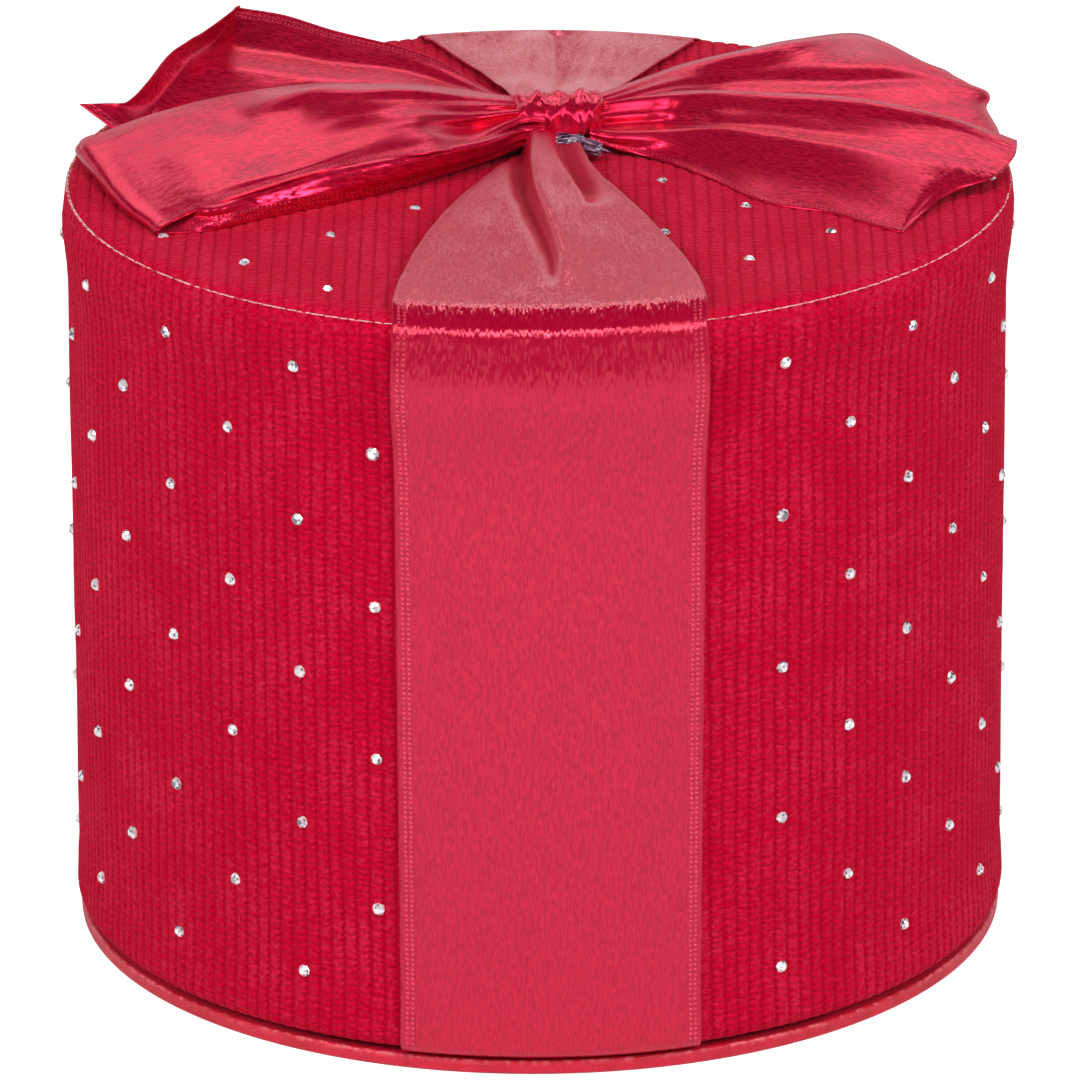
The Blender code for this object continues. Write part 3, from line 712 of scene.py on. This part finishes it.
# Bow, given as seen: rows of points from the knot outwards, and for a loop back underneath, each row
# from the front edge to the rear one
left_loop_rows = [
    [(545, 122, 134), (545, 119, 134.2), (545, 116, 134.4), (545, 113, 134.6),
     (545, 110, 134.8), (545, 107, 135), (545, 104, 135), (545, 101, 134.6)],
    [(519, 124, 134), (518, 120, 134.4), (517, 117, 134.2), (516, 113, 135),
     (515, 109, 134.7), (514, 105, 135.3), (513, 101, 135.2), (512.5, 98.5, 134.4)],
    [(472, 146, 133.6), (470, 138, 133.9), (468, 129, 133.3), (467, 119, 135.1),
     (466, 112, 135.6), (466, 103, 136.2), (466, 96, 136.4), (467, 91.5, 135.2)],
    [(430, 154, 134.8), (424, 142, 16), (416, 128, 15), (412, 120, 20),
     (410, 111, 5), (409, 101, 6), (409, 91, 22), (410, 85.2, -8)],
    [(372, 162, 134.6), (366, 153, 17), (360, 145, 17), (357, 130, 6),
     (356, 116, 20), (356, 102, 24), (358, 91, 18), (360, 84, -8)],
    [(318, 173.5, 134), (312, 168, 17), (306, 163, 17), (300, 148, 5),
     (298, 130, 6), (300, 110, 10), (304, 93, 20), (308, 85.2, -8)],
    [(268, 187.5, 133.4), (262, 182, 16), (256, 177, 16), (250, 160, 5),
     (248, 142, 5), (250, 122, 6), (254, 103, 8), (258, 90.5, -4)],
    [(222, 202, 132.4), (214, 195, 8), (206, 186, 7), (198, 168, 7),
     (196, 150, 7), (198, 131, 6), (203, 112, 5), (209, 99, 0)],
    [(192, 212.5, 131.2), (180, 203, 7), (168, 190, 7), (158, 172, 7),
     (152, 157, 7), (148, 141, 6), (147, 126, 5), (148, 116, 0)],
    [(172, 222, 130.2), (158, 212, 7), (143, 199, 7), (130, 183, 7),
     (120, 167, 7), (113, 152, 6), (109, 139, 4), (110, 130, 0)],
    [(159, 230, 129.6), (145, 219, 6), (128, 207, 6), (112, 191, 6),
     (98, 173, 6), (87, 158, 5), (81, 147, 4), (84, 139, 2)],
    [(162, 234, 128.6), (148, 224, 128.7), (132, 212, 128.8), (117, 196, 129),
     (104, 179, 129.2), (93, 164, 129.3), (87, 152, 129.4), (90, 144, 129.4)],
    [(210, 231, 128.5), (209, 225, 129.5), (208, 217, 130.5), (206, 208, 131.8),
     (200, 193, 131.2), (190, 170, 129.3), (182, 145, 129.1), (178, 128, 129.2)],
    [(262, 219, 128.5), (261, 213, 129.7), (260, 204, 131.2), (258, 189, 132.9),
     (250, 175, 131.8), (242, 155, 129.6), (236, 130, 129.3), (234, 115, 129.5)],
    [(320, 207, 128.5), (319, 200, 129.9), (318, 190, 131.7), (316, 174, 133.8),
     (310, 160, 132.6), (304, 143, 129.9), (300, 125, 129.5), (298, 110, 129.8)],
    [(385, 193, 128.5), (384, 186, 130.1), (383, 177, 132.3), (381, 161, 134.8),
     (376, 148, 133.4), (372, 138, 130.4), (370, 125, 130), (368, 112, 130.2)],
    [(440, 176.5, 128.7), (439, 171, 130.1), (438, 164, 132.2), (436, 152, 134.5),
     (432, 143, 133.4), (430, 136, 131), (428, 126, 130.6), (427, 115, 130.8)],
    [(492, 160, 129.2), (491, 155.5, 130.4), (490, 150, 132.2), (489, 141.5, 134),
     (486, 134, 133.4), (485, 129, 131.6), (484, 123, 131.4), (483, 116, 131.5)],
    [(519, 148, 130), (519, 143, 131), (519, 137, 132.2), (519, 130, 133.3),
     (519, 127, 133.1), (519, 124, 132.4), (519, 120, 132.4), (519, 116, 132.4)],
    [(545, 140, 131), (545, 136, 131.6), (545, 132, 132.2), (545, 129, 133),
     (545, 126, 133.1), (545, 123, 132.6), (545, 120, 132.6), (545, 117, 132.6)],
]
left_tail_rows = [
    [(540, 118, 132.8), (540, 115, 132.9), (540, 112, 133), (540, 109, 133.2),
     (540, 106, 133.6), (540, 103, 133.8), (540, 100, 133.8), (540, 97, 133.6)],
    [(508, 116, 132.8), (508, 113, 133), (508, 110, 133.2), (508, 107, 133.4),
     (507, 104, 133.8), (506, 101, 134), (504.5, 98, 134), (503, 95.5, 133.9)],
    [(470, 118, 130.8), (470, 113, 130.9), (470, 108, 131.2), (470, 103, 131.9),
     (470, 98, 132.4), (470, 92, 132.7), (471, 86, 133), (472.5, 80, 133.4)],
    [(430, 148, 128.7), (430, 128, 129), (430, 110, 130.2), (430, 98, 131.6),
     (431, 90, 12), (432, 80, -1), (433, 69, 22), (435, 59, 22)],
    [(388, 151, 128.7), (388, 128, 129), (388, 107, 130.2), (389, 92, 131.8),
     (391, 80, 12), (393, 70, -1), (395, 58, 22), (397.5, 46, 24)],
    [(325, 154, 128.7), (325, 128, 129), (325, 104, 130), (326, 88, 131.6),
     (328, 77, 10), (330, 64, 0), (332, 48, 22), (335, 31, 24)],
    [(262, 154, 128.7), (262, 129, 129), (263, 105, 129.8), (265, 86, 131.2),
     (270, 71, 13), (275, 55, 0), (280, 36, 22), (285, 16, 24)],
    [(190, 148, 128.7), (195, 126, 129), (200, 103, 129.9), (208, 82, 131.8),
     (216, 64, 15), (224, 48, 0), (232, 28, 22), (239, 8, 24)],
    [(139, 143, 128.7), (146, 126, 129), (156, 106, 130), (172, 84, 132),
     (192, 61, 15), (206, 45, 3), (221, 28, 22), (239.6, 6.5, 24)],
    [(80, 104.5, 133.2), (112, 103.3, 133), (128, 101.5, 132.8), (146, 84, 16),
     (168, 56, 16), (188, 42, 14), (208, 29.5, 18), (239.5, 5.5, 22)],
]
right_loop_rows = [
    [(592, 118, 132.6), (592, 115, 133.2), (592, 112, 134), (592, 109, 134.4),
     (592, 106, 134.8), (592, 103, 135), (592, 100, 135), (592, 97, 134.4)],
    [(618, 120, 131.4), (618, 114, 132.4), (618, 108, 133.4), (618, 105, 134.2),
     (618, 101, 134.8), (617, 96, 135.2), (617, 91.5, 135.2), (618, 88.5, 134.4)],
    [(672, 126, 130.2), (670, 114, 131.4), (668, 103, 132.8), (669, 96, 133.6),
     (670, 88, 134.2), (672, 80, 134.6), (676, 70, 134.6), (679, 66, 133.6)],
    [(738, 131, 129.5), (730, 115, 8), (723, 101, 10), (723, 92, 14),
     (725, 84, 5), (728, 72, 20), (732, 57, 22), (736, 52, -8)],
    [(802, 140, 129.3), (788, 120, 6), (777, 102, 8), (777, 91, 12),
     (778, 82, 5), (782, 67, 20), (788, 46, 14), (792, 40.5, -8)],
    [(868, 147, 129.3), (852, 124, 5), (838, 102, 6), (838, 92, 12),
     (840, 82, 5), (842, 64, 18), (848, 40, -1), (852, 33.5, -8)],
    [(925, 153, 129.4), (907, 128, 5), (888, 103, 6), (888, 92, 10),
     (890, 81, 5), (890, 66, 16), (888, 49, 0), (885, 43, -6)],
    [(972, 154, 129.5), (957, 128, 5), (942, 101, 5), (946, 90, 8),
     (948, 83, 5), (944, 76, 5), (934, 69, 8), (926, 63.5, 0)],
    [(1000, 150, 129.6), (992, 128, 3), (980, 106, 3), (984, 95, 6),
     (981, 89.5, 4), (972, 86, 4), (958, 79, 6), (946, 71, 2)],
    [(1000, 152, 128.8), (993, 131, 128.9), (981, 112, 129.2), (984, 102, 129.8),
     (983, 95, 130.6), (973, 90, 131.2), (960, 84, 131.8), (948, 76, 132.2)],
    [(965, 157, 128.8), (952, 138, 128.8), (938, 118, 129), (938, 108, 129.6),
     (938, 100, 130.4), (934, 92, 130.4), (926, 82, 130.6), (918, 74, 131)],
    [(900, 158, 128.8), (888, 138, 128.9), (876, 118, 129.1), (874, 106, 129.7),
     (874, 96, 130.4), (872, 86, 130.4), (868, 68, 130.9), (864, 56, 131.4)],
    [(800, 144, 128.9), (790, 130, 129), (778, 116, 129.3), (777, 106, 129.9),
     (777, 98, 130.5), (778, 88, 130.5), (780, 68, 131.4), (782, 56, 132)],
    [(684, 130, 129.4), (680, 122, 129.6), (676, 114, 130), (676, 108, 130.5),
     (676, 103, 131), (676, 97, 131.6), (677, 84, 132), (678, 76, 132.4)],
    [(600, 118, 131.6), (600, 116, 131.8), (600, 114, 132), (600, 112, 132.2),
     (600, 110, 132.4), (600, 107, 132.8), (600, 104, 133.2), (600, 101, 133.4)],
]
right_tail_rows = [
    [(590, 138, 131), (590, 134, 131.6), (590, 130, 132.2), (590, 127, 132),
     (590, 124, 132), (590, 120, 132.6), (590, 116, 133), (590, 113, 132.6)],
    [(618, 149, 129.6), (616, 142, 130.8), (614, 135, 132), (613, 130, 131.8),
     (612, 125.5, 131.6), (611, 116, 133), (611, 104, 134.6), (612, 99, 134.2)],
    [(662, 161, 128.8), (664, 148, 130.4), (667, 133, 132.4), (668, 128, 132),
     (669, 123.5, 131.4), (670, 111, 133), (672, 96, 134.9), (674, 92.5, 134.2)],
    [(715, 181, 128.6), (718, 158, 130.8), (722, 132, 133.8), (722, 128, 3),
     (722, 124, 0), (723, 110, 20), (725, 94, 22), (727, 91.5, -8)],
    [(765, 202.5, 128.6), (768, 173, 130.9), (771, 139.5, 134.4), (771, 133, 4),
     (771, 127, 0), (772, 112, 20), (773, 97, 22), (775, 93.5, -8)],
    [(828, 213, 128.6), (829, 183, 131), (830, 149.5, 134.4), (830, 141, 5),
     (830, 133, 2), (831, 116, 18), (832, 100, 22), (834, 96.5, -8)],
    [(880, 227.5, 128.6), (881, 195, 130.9), (882, 159.5, 133.6), (883, 149, 5),
     (884, 139, 5), (885, 122, 12), (886, 107, 22), (888, 103.5, -8)],
    [(897, 231.5, 128.6), (913, 204, 130.4), (932, 169, 132.6), (938, 157, 5),
     (942, 146, 5), (944, 131, 6), (944, 120, 16), (945, 117, -5)],
    [(900, 232, 128.6), (928, 202, 129.9), (960, 174.5, 131.8), (972, 163, 5),
     (979, 152, 5), (983, 142, 5), (984, 134, 8), (982, 128, 0)],
    [(902.5, 232.5, 128.6), (945, 196, 129.8), (987, 180, 131), (1001, 171, 5),
     (1011, 161, 5), (1015.5, 154, 5), (1017, 147, 5), (1017, 140.5, 3)],
]


def bow_piece(name, rows, material, seed, along, across, dents=()):
    """A ribbon of the bow: a smooth surface with gathers near the knot, dents and small creases."""
    points = surface([seen(row) for row in rows], along, across) * mm
    normals = grid_normals(points)
    q = np.linspace(-1, 1, across)[None, :]
    centre = points[:, across // 2]
    run = np.concatenate([[0], np.cumsum(np.linalg.norm(np.diff(centre, axis=0), axis=-1))])[:, None]
    near = np.exp(-np.linalg.norm(points - np.array(knot_place), axis=2) / (15 * mm))
    gathers = 0.35 * near * np.cos(q * pi * 6 + 0.8 * np.sin(run / (9 * mm) + seed))
    lift = gathers + 0.07 * wave_noise(q * 5 + run * 30, run / (7 * mm), seed) * (1 - near)
    lift = lift + 0.035 * wave_noise(q * 13, run / (4 * mm), seed + 3)
    for x, y, height, size, depth in dents:
        spot = np.array(seen([(x, y, height)])[0]) * mm
        distance = np.linalg.norm((points - spot) * np.array([1, 0.6, 1]), axis=2) / (size * mm)
        lift = lift - depth * np.exp(-distance**2)
    up = np.sign(normals[2, across // 2, 2])
    points = points + up * normals * lift[:, :, None] * mm
    widths = np.linalg.norm(np.diff(points, axis=1), axis=2)
    share = np.concatenate([np.zeros((along, 1)), np.cumsum(widths, axis=1)], axis=1)
    across_cloth = (share / share[:, -1:] - 0.5) * ribbon_width
    piece = grid_piece(name, points, joined(across_cloth, run, 0), material)
    return solidify(piece, ribbon_thickness)


# The knot's band in millimetres: its section at the waist as (y, z), its middle, and the ridges along it as
# place, size, width and lean
knot_section = [(9.4, 131.2), (9.2, 132.4), (9.3, 133.8), (9.9, 135), (11.2, 135.9), (13.2, 136.3),
                (15.6, 136.6), (17.8, 136.5), (19.3, 135.7), (19.8, 134.2), (19.4, 132.4), (18, 131),
                (14, 130.4), (10.8, 130.5)]
knot_middle = (3.9, 14.3, 133.4)
knot_ridges = ((-0.84, 0.05, 0.09, 0.08), (-0.56, 0.10, 0.11, -0.14), (-0.26, 0.06, 0.08, 0.16),
               (0.04, 0.09, 0.10, -0.12), (0.34, 0.07, 0.09, 0.12), (0.62, 0.09, 0.09, -0.10),
               (0.86, 0.05, 0.07, 0.04))


def make_knot(material):
    """The band round the waist: a flat top that turns over a round front edge, gathered along its width."""
    along = 121
    around = 168
    closed = knot_section[-2:] + knot_section + knot_section[:2]
    ring = catmull(closed, around * (len(knot_section) + 3) // len(knot_section) + 1)
    start = np.argmin(np.linalg.norm(ring - np.array(knot_section[0]), axis=1))
    ring = ring[start:start + around]
    x = np.linspace(-1, 1, along)[:, None]
    angle = np.linspace(0, 2 * pi, len(ring), endpoint=False)[None, :]
    ridges = np.zeros((along, len(ring)))
    for place, size, width, lean in knot_ridges:
        shifted = x - place - lean * np.sin(2 * angle + 3 * place)
        ridges = ridges + size * np.exp(-(shifted / width)**2)
    ridges = ridges + 0.015 * wave_noise(x * 14, np.cos(angle) * 3, 2.0)
    waist = 0.90 + 0.05 * x**2 + ridges
    ends = 0.25 + 0.75 * np.maximum(1 - np.abs(x)**14, 0)
    middle_x, middle_y, middle_z = knot_middle
    half_length = 7.9 + 0.5 * np.sin(angle + 3.6)
    px = middle_x + half_length * x + 0.25 * np.sin(3 * angle + 1.0)
    py = middle_y + (ring[:, 0][None, :] - middle_y) * waist * ends + 0.10 * (px - middle_x)
    pz = middle_z + (ring[:, 1][None, :] - middle_z) * waist * ends
    points = joined(px, py, pz) * mm
    piece = grid_piece("knot_satin_band", points, joined(18 * x, 5 * angle, 0) * mm, material, wrap=True)
    return solidify(piece, ribbon_thickness, -1)


def make_glue(material):
    """Set glue squeezed out in front of the knot: a lumpy glossy bead that thins to the right."""
    half_length = 6.4 * mm
    middle = Vector((4.9, 5.9, 130.9)) * mm
    shape = bmesh.new()
    bmesh.ops.create_icosphere(shape, subdivisions=5, radius=1)
    for vertex in shape.verts:
        lump = noise.noise(vertex.co * 2.3 + Vector((3, 1, 7))) * 0.35 + noise.noise(vertex.co * 6) * 0.12
        vertex.co *= 1 + lump
        vertex.co.x *= half_length
        vertex.co.y *= (2.6 - 0.7 * vertex.co.x / half_length) * mm
        vertex.co.z *= 1.5 * mm
        vertex.co += middle
        vertex.co.z -= max(vertex.co.x - 8 * mm, 0) * 0.18
        vertex.co.y -= max(vertex.co.x - 7 * mm, 0) * 0.5
    piece = shape_piece("glue_blob", shape, material)
    piece.data.shade_smooth()
    return piece


# Stones: their size, then the net of columns and rows on the side, and the net on the top
stone_radius = 1.06 * mm
stone_rise = 0.75 * mm
stone_sides = 8
stone_columns = 36
stone_turn = radians(0.35)
stone_low = 14.35 * mm
stone_pitch = 12.98 * mm
stone_rows = 9
top_pitch = 13.45 * mm
top_shift = 0.6 * mm
top_row = -6.0 * mm


def add_stone(shape, place, outward, seed):
    """A flat-backed faceted stone: a table, star and main facets, and a girdle sunk in the pile."""
    rng = np.random.default_rng(seed)
    straight = Vector((0, 0, 1))
    tilt = Vector((rng.normal(0, 0.10), rng.normal(0, 0.10), 1)).normalized()
    base = straight.rotation_difference(outward).to_matrix() @ straight.rotation_difference(tilt).to_matrix()
    size = 1 + rng.normal(0, 0.04)
    start = rng.uniform(0, 2 * pi)
    rings = []
    for radius, height, offset in ((1.0, -0.9, 0.0), (1.0, 0.1, 0.0), (0.78, 0.52, 0.5), (0.46, 0.95, 0.0)):
        ring = []
        for step in range(stone_sides):
            angle = start + 2 * pi * (step + offset) / stone_sides
            point = Vector((radius * stone_radius * cos(angle), radius * stone_radius * sin(angle),
                            height * stone_rise)) * size
            ring.append(shape.verts.new(place + base @ point))
        rings.append(ring)
    back, girdle, star, table = rings
    steps = [(step, (step + 1) % stone_sides) for step in range(stone_sides)]
    for step, after in steps:
        shape.faces.new((back[step], back[after], girdle[after], girdle[step]))
    for step, after in steps:
        shape.faces.new((girdle[step], girdle[after], star[step]))
        shape.faces.new((girdle[after], star[after], star[step]))
    for step, after in steps:
        shape.faces.new((star[step], table[after], table[step]))
        shape.faces.new((star[step], star[after], table[after]))
    shape.faces.new(table)
    shape.faces.new(back[::-1])


def fan_edges(y):
    """The ribbon's left and right edges on the lid's top at y, all in millimetres."""
    fan = front_fan if y < knot_place.y / mm else rear_fan[::-1]
    return np.interp(y, fan[:, 0], fan[:, 1]), np.interp(y, fan[:, 0], fan[:, 2])


def make_stones(material):
    """The stones on the side and those on the top, clear of the ribbon."""
    seed = 0
    side = bmesh.new()
    for column in range(stone_columns):
        angle = 2 * pi * column / stone_columns + stone_turn
        outward = Vector((sin(angle), -cos(angle), 0))
        shift = front_shift if outward.y < 0 else rear_shift
        if abs(side_radius * outward.x - shift) < ribbon_width / 2 + 1.2 * mm:
            continue
        for row in range((column + 1) % 2, stone_rows, 2):
            seed += 1
            height = stone_low + row * stone_pitch
            radius = float(side_profile(height, (1 + outward.x) / 2))
            place = outward * (radius - 0.05 * mm) + Vector((0, 0, height))
            add_stone(side, place, outward, seed)
    top = bmesh.new()
    count = ceil(side_radius / top_pitch)
    for column in range(-count, count):
        x = top_shift + top_pitch * (column + 0.5)
        for row in range(-count + (column + count + 1) % 2, count, 2):
            y = top_row - top_pitch * row
            left, right = fan_edges(y / mm)
            if Vector((x, y, 0)).length > side_radius - 2.2 * mm or left - 1 < x / mm < right + 1:
                continue
            seed += 1
            add_stone(top, Vector((x, y, deck + 0.14 * mm)), Vector((0, 0, 1)), seed)
    made = []
    for name, shape in (("side_stones", side), ("top_stones", top)):
        bmesh.ops.recalc_face_normals(shape, faces=shape.faces)
        made.append(shape_piece(name, shape, material))
    return made


def turned_piece(name, outline, marks, segments, wrinkle, material):
    """Closed ring with a (radius, height) outline, wrinkled a little where a point's mark isn't under 0."""
    outline = outline + outline[:1]
    marks = marks + marks[:1]
    points = np.zeros((len(outline), segments, 3))
    flat = np.zeros_like(points)
    turn = np.arange(segments) / segments
    angle = 2 * pi * turn
    run = 0.0
    for row, ((radius, height), mark) in enumerate(zip(outline, marks)):
        run += dist(outline[row], outline[max(row - 1, 0)])
        ripple = wrinkle * (mark >= 0) * wave_noise(turn * 340, row * 0.8, 2.0)
        reach = radius + ripple
        points[row] = joined(reach * np.cos(angle), reach * np.sin(angle), height + ripple * 0.5)
        flat[row] = joined(angle * radius, run, max(mark, 0))
    piece = grid_piece(name, points, flat, material, wrap=True)
    weld = piece.modifiers.new("weld", "WELD")
    weld.merge_threshold = 0.001 * mm
    return piece


def make_base_cover(material):
    """The paper round the base board's edge, turned in above and below. Its mark gives the painted highlight.
    """
    outer = rim_high.x + 0.2 * mm
    top = rim_high.z
    low = rim_low.z
    inner_top = outer - 11.0 * mm
    inner_low = outer - 16.5 * mm
    paper = 0.35 * mm
    edge = 0.55 * mm
    outline = [(inner_top, top - paper), (inner_top, top)]
    marks = [-1.0, -1.0]
    for radius in np.linspace(inner_top + 1 * mm, outer - edge, 5):
        outline.append((radius, top))
        marks.append(0.0)
    # The rounded top edge carries the painted highlight through its marks
    for angle in np.radians(np.linspace(90, 0, 6)[1:]):
        outline.append((outer - edge + edge * cos(angle), top - edge + edge * sin(angle)))
        marks.append(1.0 if angle > radians(30) else 0.4)
    for height in np.linspace(top - edge, low + edge, 5)[1:]:
        outline.append((outer, height))
        marks.append(0.0)
    for angle in np.radians(np.linspace(0, -90, 5)[1:]):
        outline.append((outer - edge + edge * cos(angle), low + edge + edge * sin(angle)))
        marks.append(-1.0)
    outline += [(inner_low, low), (inner_low, low + paper), (outer - edge, low + paper),
                (outer - paper, low + edge), (outer - paper, top - edge), (outer - edge, top - paper)]
    marks += [-1.0] * 6
    return turned_piece("base_rim_cover", outline[::-1], marks[::-1], 720, 0.045 * mm, material)


def assign(node, material):
    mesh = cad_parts[node].data
    mesh.materials.clear()
    mesh.materials.append(material)
    mesh.shade_smooth()
    mesh.set_sharp_from_angle(angle=radians(30))


# Stage
def make_stage():
    bpy.ops.mesh.primitive_plane_add(size=14, location=(0, 0, -0.02 * mm))
    floor = bpy.context.active_object
    floor.name = "floor"
    s = Shader("white_floor")
    to_camera = s.new("LightPath").outputs["Is Camera Ray"]
    s.set(Base_Color=(0.82, 0.82, 0.82, 1), Roughness=0.9, Specular_IOR_Level=0.0,
          Emission_Color=(1, 1, 1, 1), Emission_Strength=s.times(to_camera, 0.7))
    floor.data.materials.append(s.material)


def area_light(name, place, width, height, power):
    """A rectangular lamp that is aimed at the box's middle."""
    data = bpy.data.lights.new(name, "AREA")
    data.shape = "RECTANGLE"
    data.size = width
    data.size_y = height
    data.energy = power
    lamp = add_object(name, data)
    lamp.location = place
    aim = Vector((0, 0, middle_height)) - Vector(place)
    lamp.rotation_euler = aim.to_track_quat("-Z", "Y").to_euler()


def make_lights():
    area_light("overhead_softbox", (0, -0.75, 1.25), 0.50, 0.45, 9.0)
    area_light("left_softbox", (-1.2, -1.0, 1.1), 0.45, 0.8, 17.0)
    area_light("right_softbox", (1.2, -1.0, 1.1), 0.45, 0.8, 17.0)
    area_light("rear_strip", (0, 1.45, 1.15), 0.9, 0.17, 2.9)


def make_world():
    """White low behind the box and dim overhead and in front, all white to the camera."""
    world = bpy.data.worlds.new("studio")
    bpy.context.scene.world = world
    world.use_nodes = True
    n = Nodes(world.node_tree)
    _, depth, height = n.split(n.new("TexCoord").outputs["Generated"])
    strength = n.times(n.ramp(height, 0.27, 0.44, 1.0, 0.0), n.ramp(depth, -0.5, 0.2, 0.02, 1.0))
    strength = n.math("MAXIMUM", strength, n.new("LightPath").outputs["Is Camera Ray"])
    back = n.new("Background", Color=(1, 1, 1, 1), Strength=strength)
    n.new("OutputWorld", Surface=back.outputs[0])


def main():
    bpy.context.scene.view_settings.view_transform = "Standard"
    make_camera()
    make_stage()
    make_lights()
    make_world()
    corduroy = corduroy_material()
    satin = satin_material("red_satin", (0.57, 0.001, 0.036, 1), 0.03, 0.14, wrap_gloss)
    bow_satin = satin_material("red_satin_bow", (0.61, 0.001, 0.036, 1), 0.07, 0.34, bow_gloss)
    board = board_material()
    lining = paper_material("ivory_lining_paper", (0.80, 0.75, 0.68), 0.75)
    cover = paper_material("red_cover_paper", (0.50, 0.004, 0.022), 0.5)

    side = make_side_fabric(corduroy)
    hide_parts("side_fabric")
    top = make_top_fabric(corduroy)
    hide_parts("top_fabric")
    ribbon = make_wrap_ribbon(satin)
    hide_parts("wrap_ribbon")
    # Dents: across and down the picture, height, size and depth
    dents = ((232, 121, 135, 4.2, 0.9), (247, 166, 133, 4.5, 0.8), (322, 104, 137, 4.0, -0.35))
    left_loop = bow_piece("left_loop_satin", left_loop_rows, bow_satin, 1.0, 300, 72, dents)
    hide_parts("bow_left_loop")
    right_loop = bow_piece("right_loop_satin", right_loop_rows, bow_satin, 2.0, 260, 72)
    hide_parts("bow_right_loop")
    left_tail = bow_piece("left_tail_satin", left_tail_rows, bow_satin, 3.0, 150, 64)
    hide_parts("bow_left_tail")
    right_tail = bow_piece("right_tail_satin", right_tail_rows, bow_satin, 4.0, 150, 72)
    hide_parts("bow_right_tail")
    knot = make_knot(bow_satin)
    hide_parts("bow_knot")
    glue = make_glue(glue_material())
    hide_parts("glue_bead")
    stones = make_stones(stone_material())
    rim = make_base_cover(rim_paper_material())
    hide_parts("base_wrap")
    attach(rim, "base")
    for piece in (side, top, ribbon, left_loop, right_loop, left_tail, right_tail, knot, glue, *stones):
        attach(piece, "lid")
    for node in ("base_board", "tub_wall", "tub_floor", "lid_wall", "lid_top_board"):
        assign(node, board)
    for node in ("tub_lining", "floor_lining", "lid_wall_lining", "lid_top_lining"):
        assign(node, lining)
    for node in ("tub_wrap", "base_underside_sheet"):
        assign(node, cover)


main()
